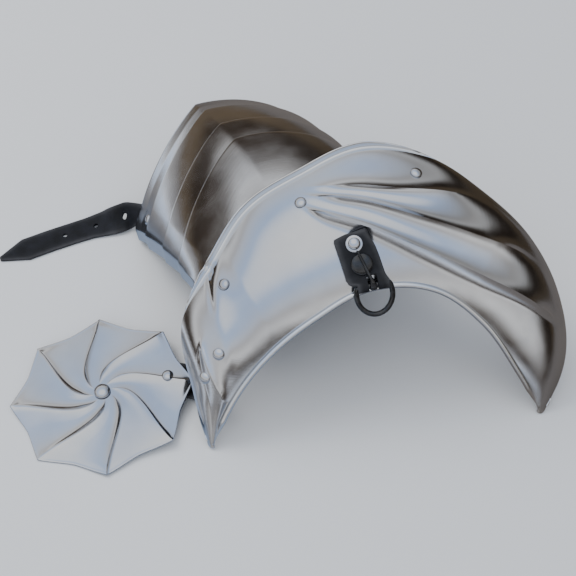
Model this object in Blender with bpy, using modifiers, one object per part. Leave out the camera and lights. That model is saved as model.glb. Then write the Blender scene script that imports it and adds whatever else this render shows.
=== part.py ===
"""Pauldron with its besagew: bare steel shoulder armour lying open side down, in metres, +Z up.

The arm points along +Y, the back wing along +X and the front wing along -X.
"""
import math

import bmesh
import bpy
import numpy as np
from mathutils import Matrix, Vector

# Walls, clearance and fittings
STEEL = 0.0015
LEATHER = 0.0022
CLEAR = 0.0003

# Main plate: the neck edge and the arm-side border are two leaning arches that share their tips
NECK_SPAN = 0.2672
NECK_RISE = 0.1336
NECK_LEAN = math.radians(30)
CHORD_HEIGHT = -0.0015
CHORD_MIDDLE = (0.0185, -0.132)
CHORD_TURN = math.radians(-17.4)
BORDER_RADIUS = 0.151
BORDER_LIFT = 0.072
BORDER_SHIFT = 0.0054
BORDER_LEAN = math.radians(45)
PLATE_BULGE = 0.016
PLATE_BULGE_WIDTH = 0.09
TIP_SHARE = 0.018
PLATE_COLUMNS = 36
PLATE_ROWS = (6, 2, 2, 3)
ROLL_RADIUS = 0.0009
FLANGE_HEIGHT = 0.0045
FLANGE_BEND = 0.0012
FLANGE_SPAN = (0.17, 0.22, 0.50, 0.60)
PLAIN_TIP = 0.05
TIP_EDGE = 0.0006

# Shares of the half span and the rise, evenly spaced from the front tip to the back tip
NECK_SHARES = (1.0, 0.902, 0.849, 0.852, 0.928, 0.957, 0.922, 0.915, 1.0)
# Shares of the border radius, evenly spaced from the front tip to the back tip
BORDER_SHARES = (1.037, 0.999, 1.033, 0.966, 0.988, 0.982, 1.038, 1.028, 0.990, 1.003, 1.021, 1.030, 0.974)

# Flutes fan out from the cusp over the back wing: (end, depth, roundness, resting row)
# as shares of the plate's length and width
FLUTE_START = 0.385
FLUTE_HEIGHT = 0.0048
FLUTE_FLANK = 0.10
FLUTES = (
    (0.875, 0.787, 0.57, 0.86),
    (0.800, 0.550, 0.75, 0.91),
    (0.695, 0.351, 1.00, 0.955),
)

# Arm lames: bands on one tapering arch that climbs towards the shoulder
ARM_START = (0.007, 0.1589, 0.0120)
ARM_RUN = 0.148
ARM_CLIMB = 0.0949
ARM_CLIMB_EASE = 0.025
ARM_SHIFT = -0.0025
ARM_FRONT = 0.0898
ARM_BACK = 0.1064
ARM_HEIGHT = 0.088
ARM_TAPER = 0.0095
ARM_LEAN = math.radians(23.7)
ARM_LEAN_GAIN = math.radians(14.3)
ARM_FOOT = 7
ARM_FRONT_POWER = 1.2856
ARM_BACK_POWER = 2.2377
CUSP = 0.034
CUSP_WIDTH = 66.3
LAME_EDGES = (0.0, 0.2566, 0.5438, 0.7862)
LAME_OVERLAP = 0.085
LAME_RISE = 0.0029
LAME_BORDER = 0.005
LAME_BORDER_DROP = 0.0008
LAME_BORDER_CREST = 0.0010
LAME_CREST_END = 0.35
LAME_STEPS = 12
LAME_ROWS = (5, 5, 5, 8)

# The top lame runs in under the main plate, close to it at the front and free of it at the back:
# (angle round the arm, share along the plate's border, closeness)
TOP_LAME_MEETS = ((-7, 0.208, 1.0), (20, 0.245, 1.0), (45, 0.295, 1.0), (90, 0.362, 0.70), (125, 0.420, 0.0),
                  (187, 0.500, 0.0))
TOP_LAME_ROW = 0.93
TOP_LAME_END = (1.16, 1.40)

# Rivets
SHANK = 0.0016
DOME = 0.0048
DOME_HEIGHT = 0.0027
TAIL = 0.0029
TAIL_HEIGHT = 0.0011
RIVET_STEPS = 10
FINE_STEPS = 20

# Places on the main plate: share along it from the front tip, share across it from the neck edge
TOP_RIVET = (0.405, 0.785)
BACK_RIVET = (0.565, 0.808)
FRONT_RIVET = (0.249, 0.756)
WING_UPPER_RIVET = (0.175, 0.402)
WING_LOWER_RIVET = (0.125, 0.530)

# Inner leathers that carry the lames; flat leather inside a curved wall stands off by this much
INNER_WIDTH = 0.020
INNER_END = 0.08
INNER_START = 0.76
# How it eases off the top lame: (travel along that lame, extra depth)
INNER_EASE = ((1.12, 0.0012), (1.0, 0.0008), (0.8, 0.0), (0.55, 0.0), (0.3, 0.0))
# Rows across the plate beside each rivet, and where it runs round the arm at its top and its end
INNER_TOP = ((0.72, 0.83), (99, 99))
INNER_BACK = ((0.74, 0.86), (146, 140))
INNER_FRONT = ((0.69, 0.80), (20, 40))
STAND_OFF = 0.0012
STRAP_STEP = 0.008

# Buckle on the neck edge
PLATE_DEPTH = 0.112
TAB_WIDTH = 0.0275
FOLD_WIDTH = 0.0226
FOLD_SHIFT = 0.0033
BUCKLE_PLACE = 0.494
BAR_REACH = 0.0036
BAR_TURN = math.radians(7.6)
TAB_LEAN = -0.00060
TAB_LENGTH = 0.0425
TAB_NARROWING = 0.305
TAB_WIDENS = (0.0060, 0.0100)
LIFT_AT_END = 0.0007
TAB_RIVET_REACH = 0.0345
TAB_DOME_REACH = 0.0190
BAR_RADIUS = 0.0021
FRAME_WIDTH = 0.0282
FRAME_REACH = 0.0245
FRAME_DROP = math.radians(8)
TONGUE_TIP = 0.0285
TONGUE_RADIUS = 0.0015
TONGUE_SLOT = 0.0078
SLOT_LENGTH = 0.0145
WASHER = 0.0066
WASHER_HEIGHT = 0.0009
TAB_DOME = 0.0085
TAB_DOME_HEIGHT = 0.0022

# Arm strap
STRAP_WIDTH = 0.025
ARM_STRAP_POINT = 0.024
ARM_STRAP_HOLE = 0.0022
ARM_STRAP_HOLES = (0.062, 0.092, 0.122)
ARM_STRAP_RIVET = (0.20, 17.0)
# Where it lies inside the end lame: share along the arm from its rivet, degrees round the arm
ARM_STRAP_HELD = ((0.07, 1), (0.0, 0), (-0.10, -1), (-0.20, -2), (-0.23, -2))
# Middle of the free stretch and how steeply its width stands: (x, y, height of its underside, rise)
ARM_STRAP_ROUTE = ((-0.0825, 0.1740, 0.0140, 0.74), (-0.0925, 0.1790, 0.0085, 0.38), (-0.1040, 0.1832, 0.0036, 0.18),
                   (-0.1190, 0.1868, 0.0005, 0.02), (-0.1378, 0.1872, 0.0, 0.0), (-0.1573, 0.1867, 0.0, 0.0),
                   (-0.1813, 0.1852, 0.0, 0.0), (-0.2048, 0.1832, 0.0, 0.0))

# Besagew
BESAGEW_RADIUS = 0.075
BESAGEW_POINTS = 8
BESAGEW_PLACE = (-0.1700, -0.0065, 0.0070)
BESAGEW_TILT = math.radians(4.8)
BESAGEW_TILT_HEADING = math.radians(35)
BESAGEW_TURN = math.radians(28.1)
BESAGEW_EDGE_DIP = 0.040
BESAGEW_SWIRL = math.radians(74)
BESAGEW_SWIRL_POWER = 1.9
BESAGEW_RINGS = 6
BESAGEW_SPOKES = 40
BESAGEW_EYE = 0.09
BESAGEW_RELIEF = 0.0022
BESAGEW_CROWN = 0.003
HUB_DOME = 0.0068
HUB_HEIGHT = 0.0042
BESAGEW_RIVET_REACH = 0.0545
BESAGEW_RIVET_HEADING = math.radians(-10)
BESAGEW_STRAP_WIDTH = 0.030
# Where the strap lies inside the wing: (share along, share across, turn of its width)
BESAGEW_STRAP_HELD = ((0.200, 0.34, 1.80), WING_UPPER_RIVET + (1.76,), (0.150, 0.466, 1.68),
                      WING_LOWER_RIVET + (1.61,), (0.105, 0.60, 1.57), (0.094, 0.66, 1.57))
# Its middle from there down to the ground and under the disc, with the direction of its width
BESAGEW_STRAP_ROUTE = (
    ((-0.0990, -0.0540, 0.0270), (-0.20, 0.97, 0.10)),
    ((-0.0940, -0.0440, 0.0165), (0.10, 0.98, 0.10)),
    ((-0.0910, -0.0360, 0.0085), (0.35, 0.93, 0.05)),
    ((-0.0950, -0.0295, 0.0046), (0.42, 0.91, 0.00)),
)

OBJECT_NAME = "pauldron"


def remove_everything():
    for item in list(bpy.data.objects):
        bpy.data.objects.remove(item, do_unlink=True)


def make_collection(name):
    collection = bpy.data.collections.new(name)
    bpy.context.scene.collection.children.link(collection)
    return collection


def make_material(name, colour, roughness, metallic):
    material = bpy.data.materials.new(name)
    material.use_nodes = True
    shader = material.node_tree.nodes["Principled BSDF"]
    shader.inputs["Base Color"].default_value = (*colour, 1.0)
    shader.inputs["Roughness"].default_value = roughness
    shader.inputs["Metallic"].default_value = metallic
    material.diffuse_color = (*colour, 1.0)
    return material


def unit(rows):
    return rows / np.maximum(np.linalg.norm(rows, axis=-1, keepdims=True), 1e-12)


def smooth_table(values, share):
    """Catmull-Rom curve through evenly spaced rows; share runs from 0 to 1."""
    rows = np.asarray(values, float)
    if rows.ndim == 1:
        rows = rows[:, None]
    rows = np.vstack([2 * rows[0] - rows[1], rows, 2 * rows[-1] - rows[-2]])
    place = np.clip(np.asarray(share, float), 0, 1) * (len(rows) - 3)
    low = np.minimum(place.astype(int), len(rows) - 4)
    part = (place - low)[..., None]
    a, b, c, d = (rows[low + k] for k in range(4))
    curve = 0.5 * (2 * b + (c - a) * part + (2 * a - 5 * b + 4 * c - d) * part ** 2
                   + (3 * b - a - 3 * c + d) * part ** 3)
    return curve[..., 0] if np.ndim(values[0]) == 0 else curve


def add_object(name, mesh, material, collection):
    mesh.materials.append(material)
    item = bpy.data.objects.new(name, mesh)
    collection.objects.link(item)
    return item


def grid_faces(rows, columns, around=False):
    """Faces of a grid of rows by columns, each column turned the same way; around joins the last to the first."""
    faces = []
    for row in range(rows - 1):
        for column in range(columns if around else columns - 1):
            step = (column + 1) % columns
            corner = row * columns
            faces.append((corner + column, corner + step, corner + columns + step, corner + columns + column))
    return faces


def mesh_from(name, points, faces):
    mesh = bpy.data.meshes.new(name)
    mesh.from_pydata([tuple(map(float, point)) for point in points], [], faces)
    mesh.update()
    return mesh


def smooth_round(mesh, angle=math.radians(35)):
    mesh.shade_smooth()
    mesh.set_sharp_from_angle(angle=angle)


def faces_outward(mesh):
    """Turns a closed mesh's faces outward."""
    work = bmesh.new()
    work.from_mesh(mesh)
    bmesh.ops.recalc_face_normals(work, faces=work.faces[:])
    work.to_mesh(mesh)
    work.free()


# Main plate

def chord_axes():
    along = np.array([math.cos(CHORD_TURN), math.sin(CHORD_TURN), 0.0])
    away = np.array([-along[1], along[0], 0.0])
    return along, away


def leaning(lean):
    away = chord_axes()[1]
    return away * math.sin(lean) + np.array([0, 0, 1.0]) * math.cos(lean)


def neck_edge(share):
    along = chord_axes()[0]
    angle = math.pi * (1 - share)
    reach = smooth_table(NECK_SHARES, share)
    side = (NECK_SPAN / 2 * reach * np.cos(angle))[..., None] * along
    rise = (NECK_RISE * reach * np.sin(angle))[..., None] * leaning(NECK_LEAN)
    return np.array([*CHORD_MIDDLE, CHORD_HEIGHT]) + side + rise


def border_edge(share):
    along = chord_axes()[0]
    up = leaning(BORDER_LEAN)
    half = NECK_SPAN / 2
    first = math.atan2(-BORDER_LIFT, -half - BORDER_SHIFT) + 2 * math.pi
    last = math.atan2(-BORDER_LIFT, half - BORDER_SHIFT)

    def raw(place):
        angle = first + (last - first) * place
        reach = BORDER_RADIUS * smooth_table(BORDER_SHARES, place)
        side = (BORDER_SHIFT + reach * np.cos(angle))[..., None] * along
        return np.array([*CHORD_MIDDLE, CHORD_HEIGHT]) + side + (BORDER_LIFT + reach * np.sin(angle))[..., None] * up

    ends = np.array([0.0, 1.0])
    miss = neck_edge(ends) - raw(ends)
    near = ((1 - share) ** 6)[..., None] * miss[0] + (share ** 6)[..., None] * miss[1]
    return raw(share) + near


def flute_row(share, flute):
    """Share across the plate at which a flute runs, and how strongly it stands there."""
    end, depth, roundness, rest = flute
    place = np.clip((share - FLUTE_START) / (end - FLUTE_START), 0, 1)
    row = 1 - depth * np.sin(np.pi * place) ** roundness
    row = np.where(row > rest, rest, row)
    strength = np.clip((rest - row) / 0.30, 0, 1)
    return row, (strength * strength * (3 - 2 * strength)) ** 2


def plate_base(share, across):
    """The smooth plate without its flutes."""
    neck = neck_edge(share)
    border = border_edge(share)
    step = 1e-3
    ahead = np.clip(share + step, 0, 1)
    behind = np.clip(share - step, 0, 1)
    weight = across[..., None]
    run = (neck_edge(ahead) - neck_edge(behind)) * (1 - weight) + (border_edge(ahead) - border_edge(behind)) * weight
    out = unit(np.cross(run, border - neck))
    width = np.linalg.norm(border - neck, axis=-1)
    lift = PLATE_BULGE * 4 * across * (1 - across) * np.minimum(1, width / PLATE_BULGE_WIDTH)
    return neck + (border - neck) * weight + out * lift[..., None], out


def flute_lift(share, across):
    """Height of the flutes: sharp crests with hollow panels between them."""
    rows = [flute_row(share, flute) for flute in FLUTES]
    low, low_strength = rows[0]
    lift = low_strength * np.clip(1 - (low - across) / FLUTE_FLANK, 0, 1) ** 2.2 * (across <= low)
    edges = rows + [(np.ones_like(share), np.zeros_like(share))]
    for (start, first), (stop, second) in zip(edges[:-1], edges[1:]):
        part = np.clip((across - start) / np.maximum(stop - start, 1e-6), 0, 1)
        crest = first + (second - first) * part
        inside = (across > start) & (across <= stop)
        lift = lift + inside * crest * np.abs(1 - 2 * part) ** 1.7
    return FLUTE_HEIGHT * lift


def plate_point(share, across):
    share, across = np.broadcast_arrays(np.asarray(share, float), np.asarray(across, float))
    base, out = plate_base(share, across)
    return base + out * flute_lift(share, across)[..., None]


def plate_frame(share, across):
    """Point on the plate with its outward normal, its run towards the back tip and its climb to the border."""
    step = 4e-3
    point = plate_point([share], [across])[0]
    climb = unit(plate_point([share], [across + step])[0] - plate_point([share], [across - step])[0])
    run = plate_point([share + step], [across])[0] - plate_point([share - step], [across])[0]
    out = unit(np.cross(run, climb))
    return point, out, np.cross(climb, out), climb


def plate_grid(columns, counts):
    """Rows follow the flutes, so that each crest is a line of the grid."""
    share = np.linspace(TIP_SHARE, 1 - TIP_SHARE, columns)
    fluted = np.clip((share - 0.26) / 0.10, 0, 1) * np.clip((0.96 - share) / 0.07, 0, 1)
    even = np.cumsum(counts) / sum(counts)
    knots = [np.zeros_like(share)]
    knots += [flute_row(share, flute)[0] * fluted + at * (1 - fluted) for flute, at in zip(FLUTES, even)]
    knots.append(np.ones_like(share))
    rows = []
    for count, start, stop in zip(counts, knots[:-1], knots[1:]):
        for step in range(count):
            rows.append(start + (stop - start) * step / count)
    rows.append(knots[-1])
    across = np.array(rows)
    share = np.broadcast_to(share, across.shape)
    points = plate_point(share, across)
    for column, inner in ((0, 1), (columns - 1, columns - 2)):
        outward = unit(points[:, column].mean(0) - points[:, inner].mean(0))
        radius = np.linalg.norm(points[0, column] - points[-1, column]) / 2
        bulge = radius * np.sqrt(np.clip(1 - (2 * across[:, column] - 1) ** 2, 0, 1))
        points[:, column] = points[:, column] + outward * bulge[:, None]
    return points


def rim_profiles():
    """Steps outward in the surface and along its normal: rolled edge, turned-up flange and plain tip."""
    angles = np.radians([50, 110, 170])
    roll = np.stack([ROLL_RADIUS * np.sin(angles), ROLL_RADIUS * (1 - np.cos(angles))], -1)
    bend = FLANGE_BEND
    flange = np.array([[bend * 0.7, bend * 0.3], [bend, bend], [bend, FLANGE_HEIGHT]])
    plain = np.array([[TIP_EDGE * step / 3, 0.0] for step in (1, 2, 3)])
    return roll, flange, plain


def rim_strip(loop, outs, normals, weights):
    """Rings of points that turn the edge over; each edge point has a weight for each of the three profiles."""
    rings = []
    for steps in zip(*rim_profiles()):
        step = sum(weights[:, number, None] * profile for number, profile in enumerate(steps))
        rings.append(loop + outs * step[:, :1] + normals * step[:, 1:])
    return rings


def shell_mesh(name, points, edge_weights):
    """A grid with its whole edge turned over, as one open surface facing out."""
    rows, columns = points.shape[:2]
    flat = points.reshape(-1, 3)
    faces = grid_faces(rows, columns)
    down = np.gradient(points, axis=0)
    along = np.gradient(points, axis=1)
    normals = unit(np.cross(along, down)).reshape(-1, 3)
    loop = [(0, column) for column in range(columns)]
    loop += [(row, columns - 1) for row in range(1, rows)]
    loop += [(rows - 1, column) for column in range(columns - 2, -1, -1)]
    loop += [(row, 0) for row in range(rows - 2, 0, -1)]
    index = np.array([row * columns + column for row, column in loop])
    edge = flat[index]
    tangent = unit(np.roll(edge, -1, 0) - np.roll(edge, 1, 0))
    normal = normals[index]
    outs = unit(np.cross(tangent, normal))
    weights = np.array([edge_weights(row / (rows - 1), column / (columns - 1)) for row, column in loop])
    total = [flat]
    previous = index
    count = len(loop)
    for number, ring in enumerate(rim_strip(edge, outs, normal, weights)):
        total.append(ring)
        start = len(flat) + number * count
        for step in range(count):
            after = (step + 1) % count
            faces.append((previous[after], previous[step], start + step, start + after))
        previous = np.arange(start, start + count)
    return mesh_from(name, np.vstack(total), faces)


def add_shell_thickness(item, thickness):
    solid = item.modifiers.new("thickness", "SOLIDIFY")
    solid.thickness = thickness
    solid.offset = -1
    solid.use_even_offset = False


def rim_weights(row_share, column_share):
    """How far the edge is rolled as at the neck, turned up as a flange over the lames, or plain elsewhere."""
    near_tip = min(column_share, 1 - column_share)
    roll = min(1.0, near_tip / PLAIN_TIP) if row_share == 0 else 0.0
    flange = 0.0 if row_share == 0 else float(np.interp(column_share, FLANGE_SPAN, (0, 1, 1, 0)))
    return roll, flange, 1 - roll - flange


def make_main_plate(material, collection):
    points = plate_grid(PLATE_COLUMNS, PLATE_ROWS)
    mesh = shell_mesh("main_plate", points, rim_weights)
    item = add_object("main_plate", mesh, material, collection)
    smooth_round(mesh, math.radians(50))
    add_shell_thickness(item, STEEL)
    return item


# Arm lames

def arm_ring(place, angle):
    """Point on the arm's arch: place 0 at the end border, growing towards the shoulder; angle in degrees."""
    place, angle = np.broadcast_arrays(np.asarray(place, float), np.asarray(angle, float))
    turn = np.radians(angle)
    lean = ARM_LEAN + ARM_LEAN_GAIN * place
    up = np.stack([np.zeros_like(place), np.sin(lean), np.cos(lean)], -1)
    out = np.stack([np.zeros_like(place), np.cos(lean), -np.sin(lean)], -1)
    centre = np.stack([ARM_START[0] + ARM_SHIFT * place, ARM_START[1] - ARM_RUN * place,
                       ARM_START[2] + ARM_CLIMB * place - ARM_CLIMB_EASE * place ** 2], -1)
    power = np.where(angle < 90, ARM_FRONT_POWER, ARM_BACK_POWER)
    power = np.where((angle < 0) | (angle > 180), 2.0, power)
    side = np.where(angle < 90, ARM_FRONT, ARM_BACK) - ARM_TAPER * place
    tall = ARM_HEIGHT - ARM_TAPER * place
    cosine = np.sign(np.cos(turn)) * np.abs(np.cos(turn)) ** (2 / power)
    sine = np.sign(np.sin(turn)) * np.abs(np.sin(turn)) ** (2 / power)
    point = centre - (side * cosine)[..., None] * np.array([1.0, 0, 0])
    point = point + (tall * sine)[..., None] * up
    cusp = CUSP * np.clip(1 - np.abs(angle - 90) / CUSP_WIDTH, 0, 1)
    return point + cusp[..., None] * out


def arm_point(place, angle, lift=0.0):
    """Point on the arm's arch, moved out along its normal."""
    step = 1e-3
    around = arm_ring(place, np.asarray(angle, float) + 0.5) - arm_ring(place, np.asarray(angle, float) - 0.5)
    ahead = arm_ring(np.asarray(place, float) + step, angle) - arm_ring(np.asarray(place, float) - step, angle)
    out = unit(np.cross(ahead, around))
    return arm_ring(place, angle) + out * np.asarray(lift, float)[..., None], out


def lame_angles():
    count = LAME_STEPS
    front = np.linspace(-ARM_FOOT, 90, count)
    back = np.linspace(90, 180 + ARM_FOOT, count)
    return np.concatenate([front, back[1:]])


def top_lame_point(angle, travel, lift):
    """Point on the top lame: from its lower edge on the arm's arch to a line inside the plate's border."""
    angle, travel, lift = np.broadcast_arrays(*(np.asarray(value, float) for value in (angle, travel, lift)))
    table = np.array(TOP_LAME_MEETS)
    share = np.interp(angle, table[:, 0], table[:, 1])
    close = np.interp(angle, table[:, 0], table[:, 2])[..., None]
    crown = np.clip(np.sin(np.radians(angle)), 0, 1) ** 2
    free = arm_ring(TOP_LAME_END[0] + (TOP_LAME_END[1] - TOP_LAME_END[0]) * crown, angle)
    step = 1e-3
    row = np.full_like(share, TOP_LAME_ROW)
    plate = plate_point(share, row)
    climb = unit(plate_point(share, row + step) - plate_point(share, row - step))
    run = plate_point(share + step, row) - plate_point(share - step, row)
    plate = plate - unit(np.cross(run, climb)) * (STEEL + CLEAR * 2)
    start = arm_ring(LAME_EDGES[-1], angle)
    leave = unit(arm_ring(LAME_EDGES[-1] + step, angle) - start)
    end = plate * close + free * (1 - close)
    length = np.linalg.norm(end - start, axis=-1, keepdims=True)
    arrive = unit(-climb * close + unit(end - start) * (1 - close))
    part = np.clip(travel, 0, 1)[..., None]
    curve = (start * (2 * part ** 3 - 3 * part ** 2 + 1) + leave * length * (part ** 3 - 2 * part ** 2 + part)
             + end * (3 * part ** 2 - 2 * part ** 3) + arrive * length * 0.7 * (part ** 3 - part ** 2))
    curve = curve + arrive * length * np.clip(travel - 1, 0, 1)[..., None]
    return curve + arm_outward(angle) * lift[..., None]


def arm_outward(angle):
    """Outward direction round the arm, near enough for lifting a lame."""
    turn = np.radians(angle)
    up = np.array([0, math.sin(ARM_LEAN + ARM_LEAN_GAIN), math.cos(ARM_LEAN + ARM_LEAN_GAIN)])
    return -np.cos(turn)[..., None] * np.array([1.0, 0, 0]) + np.sin(turn)[..., None] * up


def make_lame(number, material, collection):
    angle = lame_angles()
    share = np.linspace(0, 1, LAME_ROWS[number])
    lift = LAME_RISE * (1 - share)
    if number == 0:
        crest = LAME_BORDER / (ARM_RUN * (LAME_EDGES[1] + LAME_OVERLAP))
        share = np.concatenate([[0, crest], np.linspace(crest, 1, LAME_ROWS[0])[1:]])
        lift = np.interp(share, (0, crest, LAME_CREST_END), (-LAME_BORDER_DROP, LAME_BORDER_CREST, 0))
    share = share[:, None]
    lift = lift[:, None] * np.ones_like(angle)
    if number + 1 < len(LAME_EDGES):
        start, stop = LAME_EDGES[number], LAME_EDGES[number + 1] + LAME_OVERLAP
        points = arm_point(start + (stop - start) * share, np.broadcast_to(angle, lift.shape), lift)[0]
    else:
        points = top_lame_point(angle[None, :], share, lift)
    faces = [tuple(reversed(face)) for face in grid_faces(*points.shape[:2])]
    mesh = mesh_from("lame_%d" % (number + 1), points.reshape(-1, 3), faces)
    item = add_object("lame_%d" % (number + 1), mesh, material, collection)
    smooth_round(mesh, math.radians(40))
    add_shell_thickness(item, STEEL)
    return item


# Straps

def smooth_rows(rows, count):
    """Rows of points made even along their length and smoothed."""
    rows = np.asarray(rows, float)
    travel = np.concatenate([[0], np.cumsum(np.linalg.norm(np.diff(rows.mean(1), axis=0), axis=1))])
    even = np.linspace(0, travel[-1], int(round(travel[-1] / STRAP_STEP)) + 1)
    flat = rows.reshape(len(rows), -1)
    spaced = np.stack([np.interp(even, travel, flat[:, column]) for column in range(flat.shape[1])], -1)
    return smooth_table(spaced, np.linspace(0, 1, count)).reshape(count, rows.shape[1], 3)


def ribbon(name, rows, material, collection, taper=0.0):
    """A strap: rows of points across it with its thickness; also gives the rows and the length left at each."""
    grid = np.asarray(rows, float)
    count = len(grid)
    centre = grid.mean(1)
    left = np.cumsum(np.linalg.norm(np.diff(centre, axis=0), axis=1)[::-1])[::-1]
    left = np.concatenate([left, [0]])
    if taper:
        narrow = np.clip(0.12 + 0.88 * left / taper, 0, 1)
        grid = centre[:, None] + (grid - centre[:, None]) * narrow[:, None, None]
    mesh = mesh_from(name, grid.reshape(-1, 3), grid_faces(count, grid.shape[1]))
    item = add_object(name, mesh, material, collection)
    solid = item.modifiers.new("thickness", "SOLIDIFY")
    solid.thickness = LEATHER
    solid.offset = 0
    return item, grid, left


def across_flat(centre, side, width, count=3):
    """A straight row of points across a strap."""
    steps = np.linspace(-0.5, 0.5, count)[:, None]
    return np.asarray(centre, float) + unit(np.asarray(side, float)) * width * steps


def across_plate(share, across, turn, width, depth, count=3):
    """A row of points that follows the inside of the main plate; turn is its angle from the plate's run."""
    step = 1e-3
    point, out, run, climb = plate_frame(share, across)
    per_share = np.linalg.norm(plate_point(share + step, across) - plate_point(share - step, across)) / (2 * step)
    per_across = np.linalg.norm(plate_point(share, across + step) - plate_point(share, across - step)) / (2 * step)
    rows = []
    for place in np.linspace(-0.5, 0.5, count) * width:
        spot, normal = plate_base(np.array([share + place * math.cos(turn) / per_share]),
                                  np.array([across + place * math.sin(turn) / per_across]))
        rows.append(spot[0] - normal[0] * depth)
    return np.array(rows)


# Turned and drilled pieces

def frame_matrix(point, normal, run=None):
    normal = Vector(normal).normalized()
    run = Vector(run if run is not None else (1, 0, 0))
    run = (run - normal * run.dot(normal)).normalized()
    side = normal.cross(run)
    turn = Matrix((run, side, normal)).transposed().to_4x4()
    return Matrix.Translation(Vector(point)) @ turn


def turned(name, profile, place, material, collection, steps=RIVET_STEPS):
    """A turned solid: (radius, height) rows from the top axis point down the outer side."""
    mesh = bpy.data.meshes.new(name)
    closed = profile[0] == profile[-1]
    rows = profile[:-1] if closed else profile
    edges = [(k, (k + 1) % len(rows)) for k in range(len(profile) - 1)]
    mesh.from_pydata([(radius, 0.0, height) for radius, height in rows], edges, [])
    item = add_object(name, mesh, material, collection)
    item.matrix_world = place
    screw = item.modifiers.new("turn", "SCREW")
    screw.steps = steps
    screw.render_steps = steps
    screw.use_merge_vertices = True
    screw.merge_threshold = 1e-5
    screw.use_smooth_shade = True
    return item


def rivet_profile(dome, height, base, depth):
    """A domed head over base and a peened tail below depth."""
    rows = [(0.0, base + height)]
    for angle in (30, 60):
        turn = math.radians(angle)
        rows.append((dome * math.sin(turn), base + height * math.cos(turn)))
    rows += [(dome, base), (SHANK, base), (SHANK, -depth), (TAIL, -depth), (TAIL * 0.7, -depth - TAIL_HEIGHT),
             (0.0, -depth - TAIL_HEIGHT)]
    return rows


def drill(item, place, radius, depth, cutters):
    """Cuts a round hole through a piece along a frame's normal."""
    bpy.ops.mesh.primitive_cylinder_add(vertices=12, radius=radius, depth=depth)
    tool = bpy.context.active_object
    tool.name = item.name + "_drill"
    tool.matrix_world = place
    cut_with(item, tool, cutters)


def cut_with(item, tool, cutters):
    for collection in list(tool.users_collection):
        collection.objects.unlink(tool)
    cutters.objects.link(tool)
    tool.hide_render = True
    tool.display_type = "WIRE"
    cut = item.modifiers.new("cut", "BOOLEAN")
    cut.operation = "DIFFERENCE"
    cut.solver = "EXACT"
    cut.object = tool


def plate_rivet(name, place, plate, layer, material, collection, cutters):
    """A rivet through the main plate and the layer under it."""
    point, out, run, _ = plate_frame(*place)
    frame = frame_matrix(point, out, run)
    depth = STEEL + CLEAR * 5 + STAND_OFF + LEATHER
    turned(name, rivet_profile(DOME, DOME_HEIGHT, CLEAR * 2, depth), frame, material, collection)
    drill(plate, frame, SHANK + CLEAR, 0.012, cutters)
    if layer is not None:
        drill(layer, frame, SHANK + CLEAR, 0.012, cutters)


# Inner leathers

def inner_leather(name, rivet, run, material, collection):
    """A leather under the lames, from inside the end lame up to a rivet in the main plate."""
    (below, above), angles = run
    share, middle = rivet
    upper = [across_plate(share, row, 0, INNER_WIDTH, STEEL + CLEAR * 3 + LEATHER / 2 + extra)
             for row, extra in ((below, 0.0), (middle, 0.0), (above, STEEL))]
    half = math.degrees(INNER_WIDTH / 2 / (ARM_HEIGHT + CUSP / 3))
    spread = np.linspace(-half, half, 3)
    deep = STEEL + CLEAR * 2 + LEATHER / 2
    lower = [top_lame_point(angles[0] + spread, travel, -deep - extra) for travel, extra in INNER_EASE]
    for place, angle in zip(np.linspace(INNER_START, INNER_END, 9), np.linspace(*angles, 9)):
        lower.append(arm_point(np.full(3, place), angle + spread, np.full(3, -deep))[0])
    return ribbon(name, smooth_rows(upper + lower, 25), material, collection)[0]


# Buckle on the neck edge

def neck_place(reach, height, beside=0.0):
    """Point over the plate at the buckle: reach from the neck edge, height over the surface."""
    share = BUCKLE_PLACE + TAB_LEAN * max(reach, 0) * 1000 + beside
    across = max(reach, 0.0) / PLATE_DEPTH
    point, out, run, climb = plate_frame(share, max(across, 0.004))
    return point + out * height + climb * min(reach, 0.0), out, run, climb


def bar_height():
    """The fold round the bar just clears the rolled neck edge."""
    bead = 2 * ROLL_RADIUS + STEEL
    fold = BAR_RADIUS + CLEAR + LEATHER
    return bead + CLEAR + math.sqrt(fold ** 2 - BAR_REACH ** 2)


def bar_frame():
    """Middle of the bar with its outward, running and climbing directions."""
    point, out, run, climb = neck_place(BAR_REACH, bar_height())
    turned_run = run * math.cos(BAR_TURN) + climb * math.sin(BAR_TURN)
    return point + turned_run * FOLD_SHIFT, out, turned_run, np.cross(out, turned_run)


def tab_path():
    """Side view of the folded tab: under layer, round the bar and back as the upper layer."""
    wrap = BAR_RADIUS + CLEAR + LEATHER / 2
    high = bar_height()
    under = CLEAR * 2 + LEATHER / 2
    upper = under + LEATHER + CLEAR * 2
    rise = high + wrap - upper
    rows = [(TAB_LENGTH * share, under + LIFT_AT_END * share) for share in (1, 0.9, 0.8, 0.7, 0.6, 0.5)]
    rows += [(0.014, under), (BAR_REACH + 0.0060, under + 0.0001), (BAR_REACH + 0.0025, high - wrap - 0.0004)]
    rows += [(BAR_REACH - wrap * math.sin(turn), high - wrap * math.cos(turn))
             for turn in np.radians(range(0, 181, 30))]
    rows += [(BAR_REACH + reach, upper + rise * share)
             for reach, share in ((0.0026, 0.86), (0.0052, 0.45), (0.0074, 0.12), (0.0096, 0.0), (0.0140, 0.0))]
    rows += [(TAB_LENGTH * share, upper + LIFT_AT_END * share) for share in (0.5, 0.6, 0.7, 0.8, 0.9, 1)]
    return rows


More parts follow.
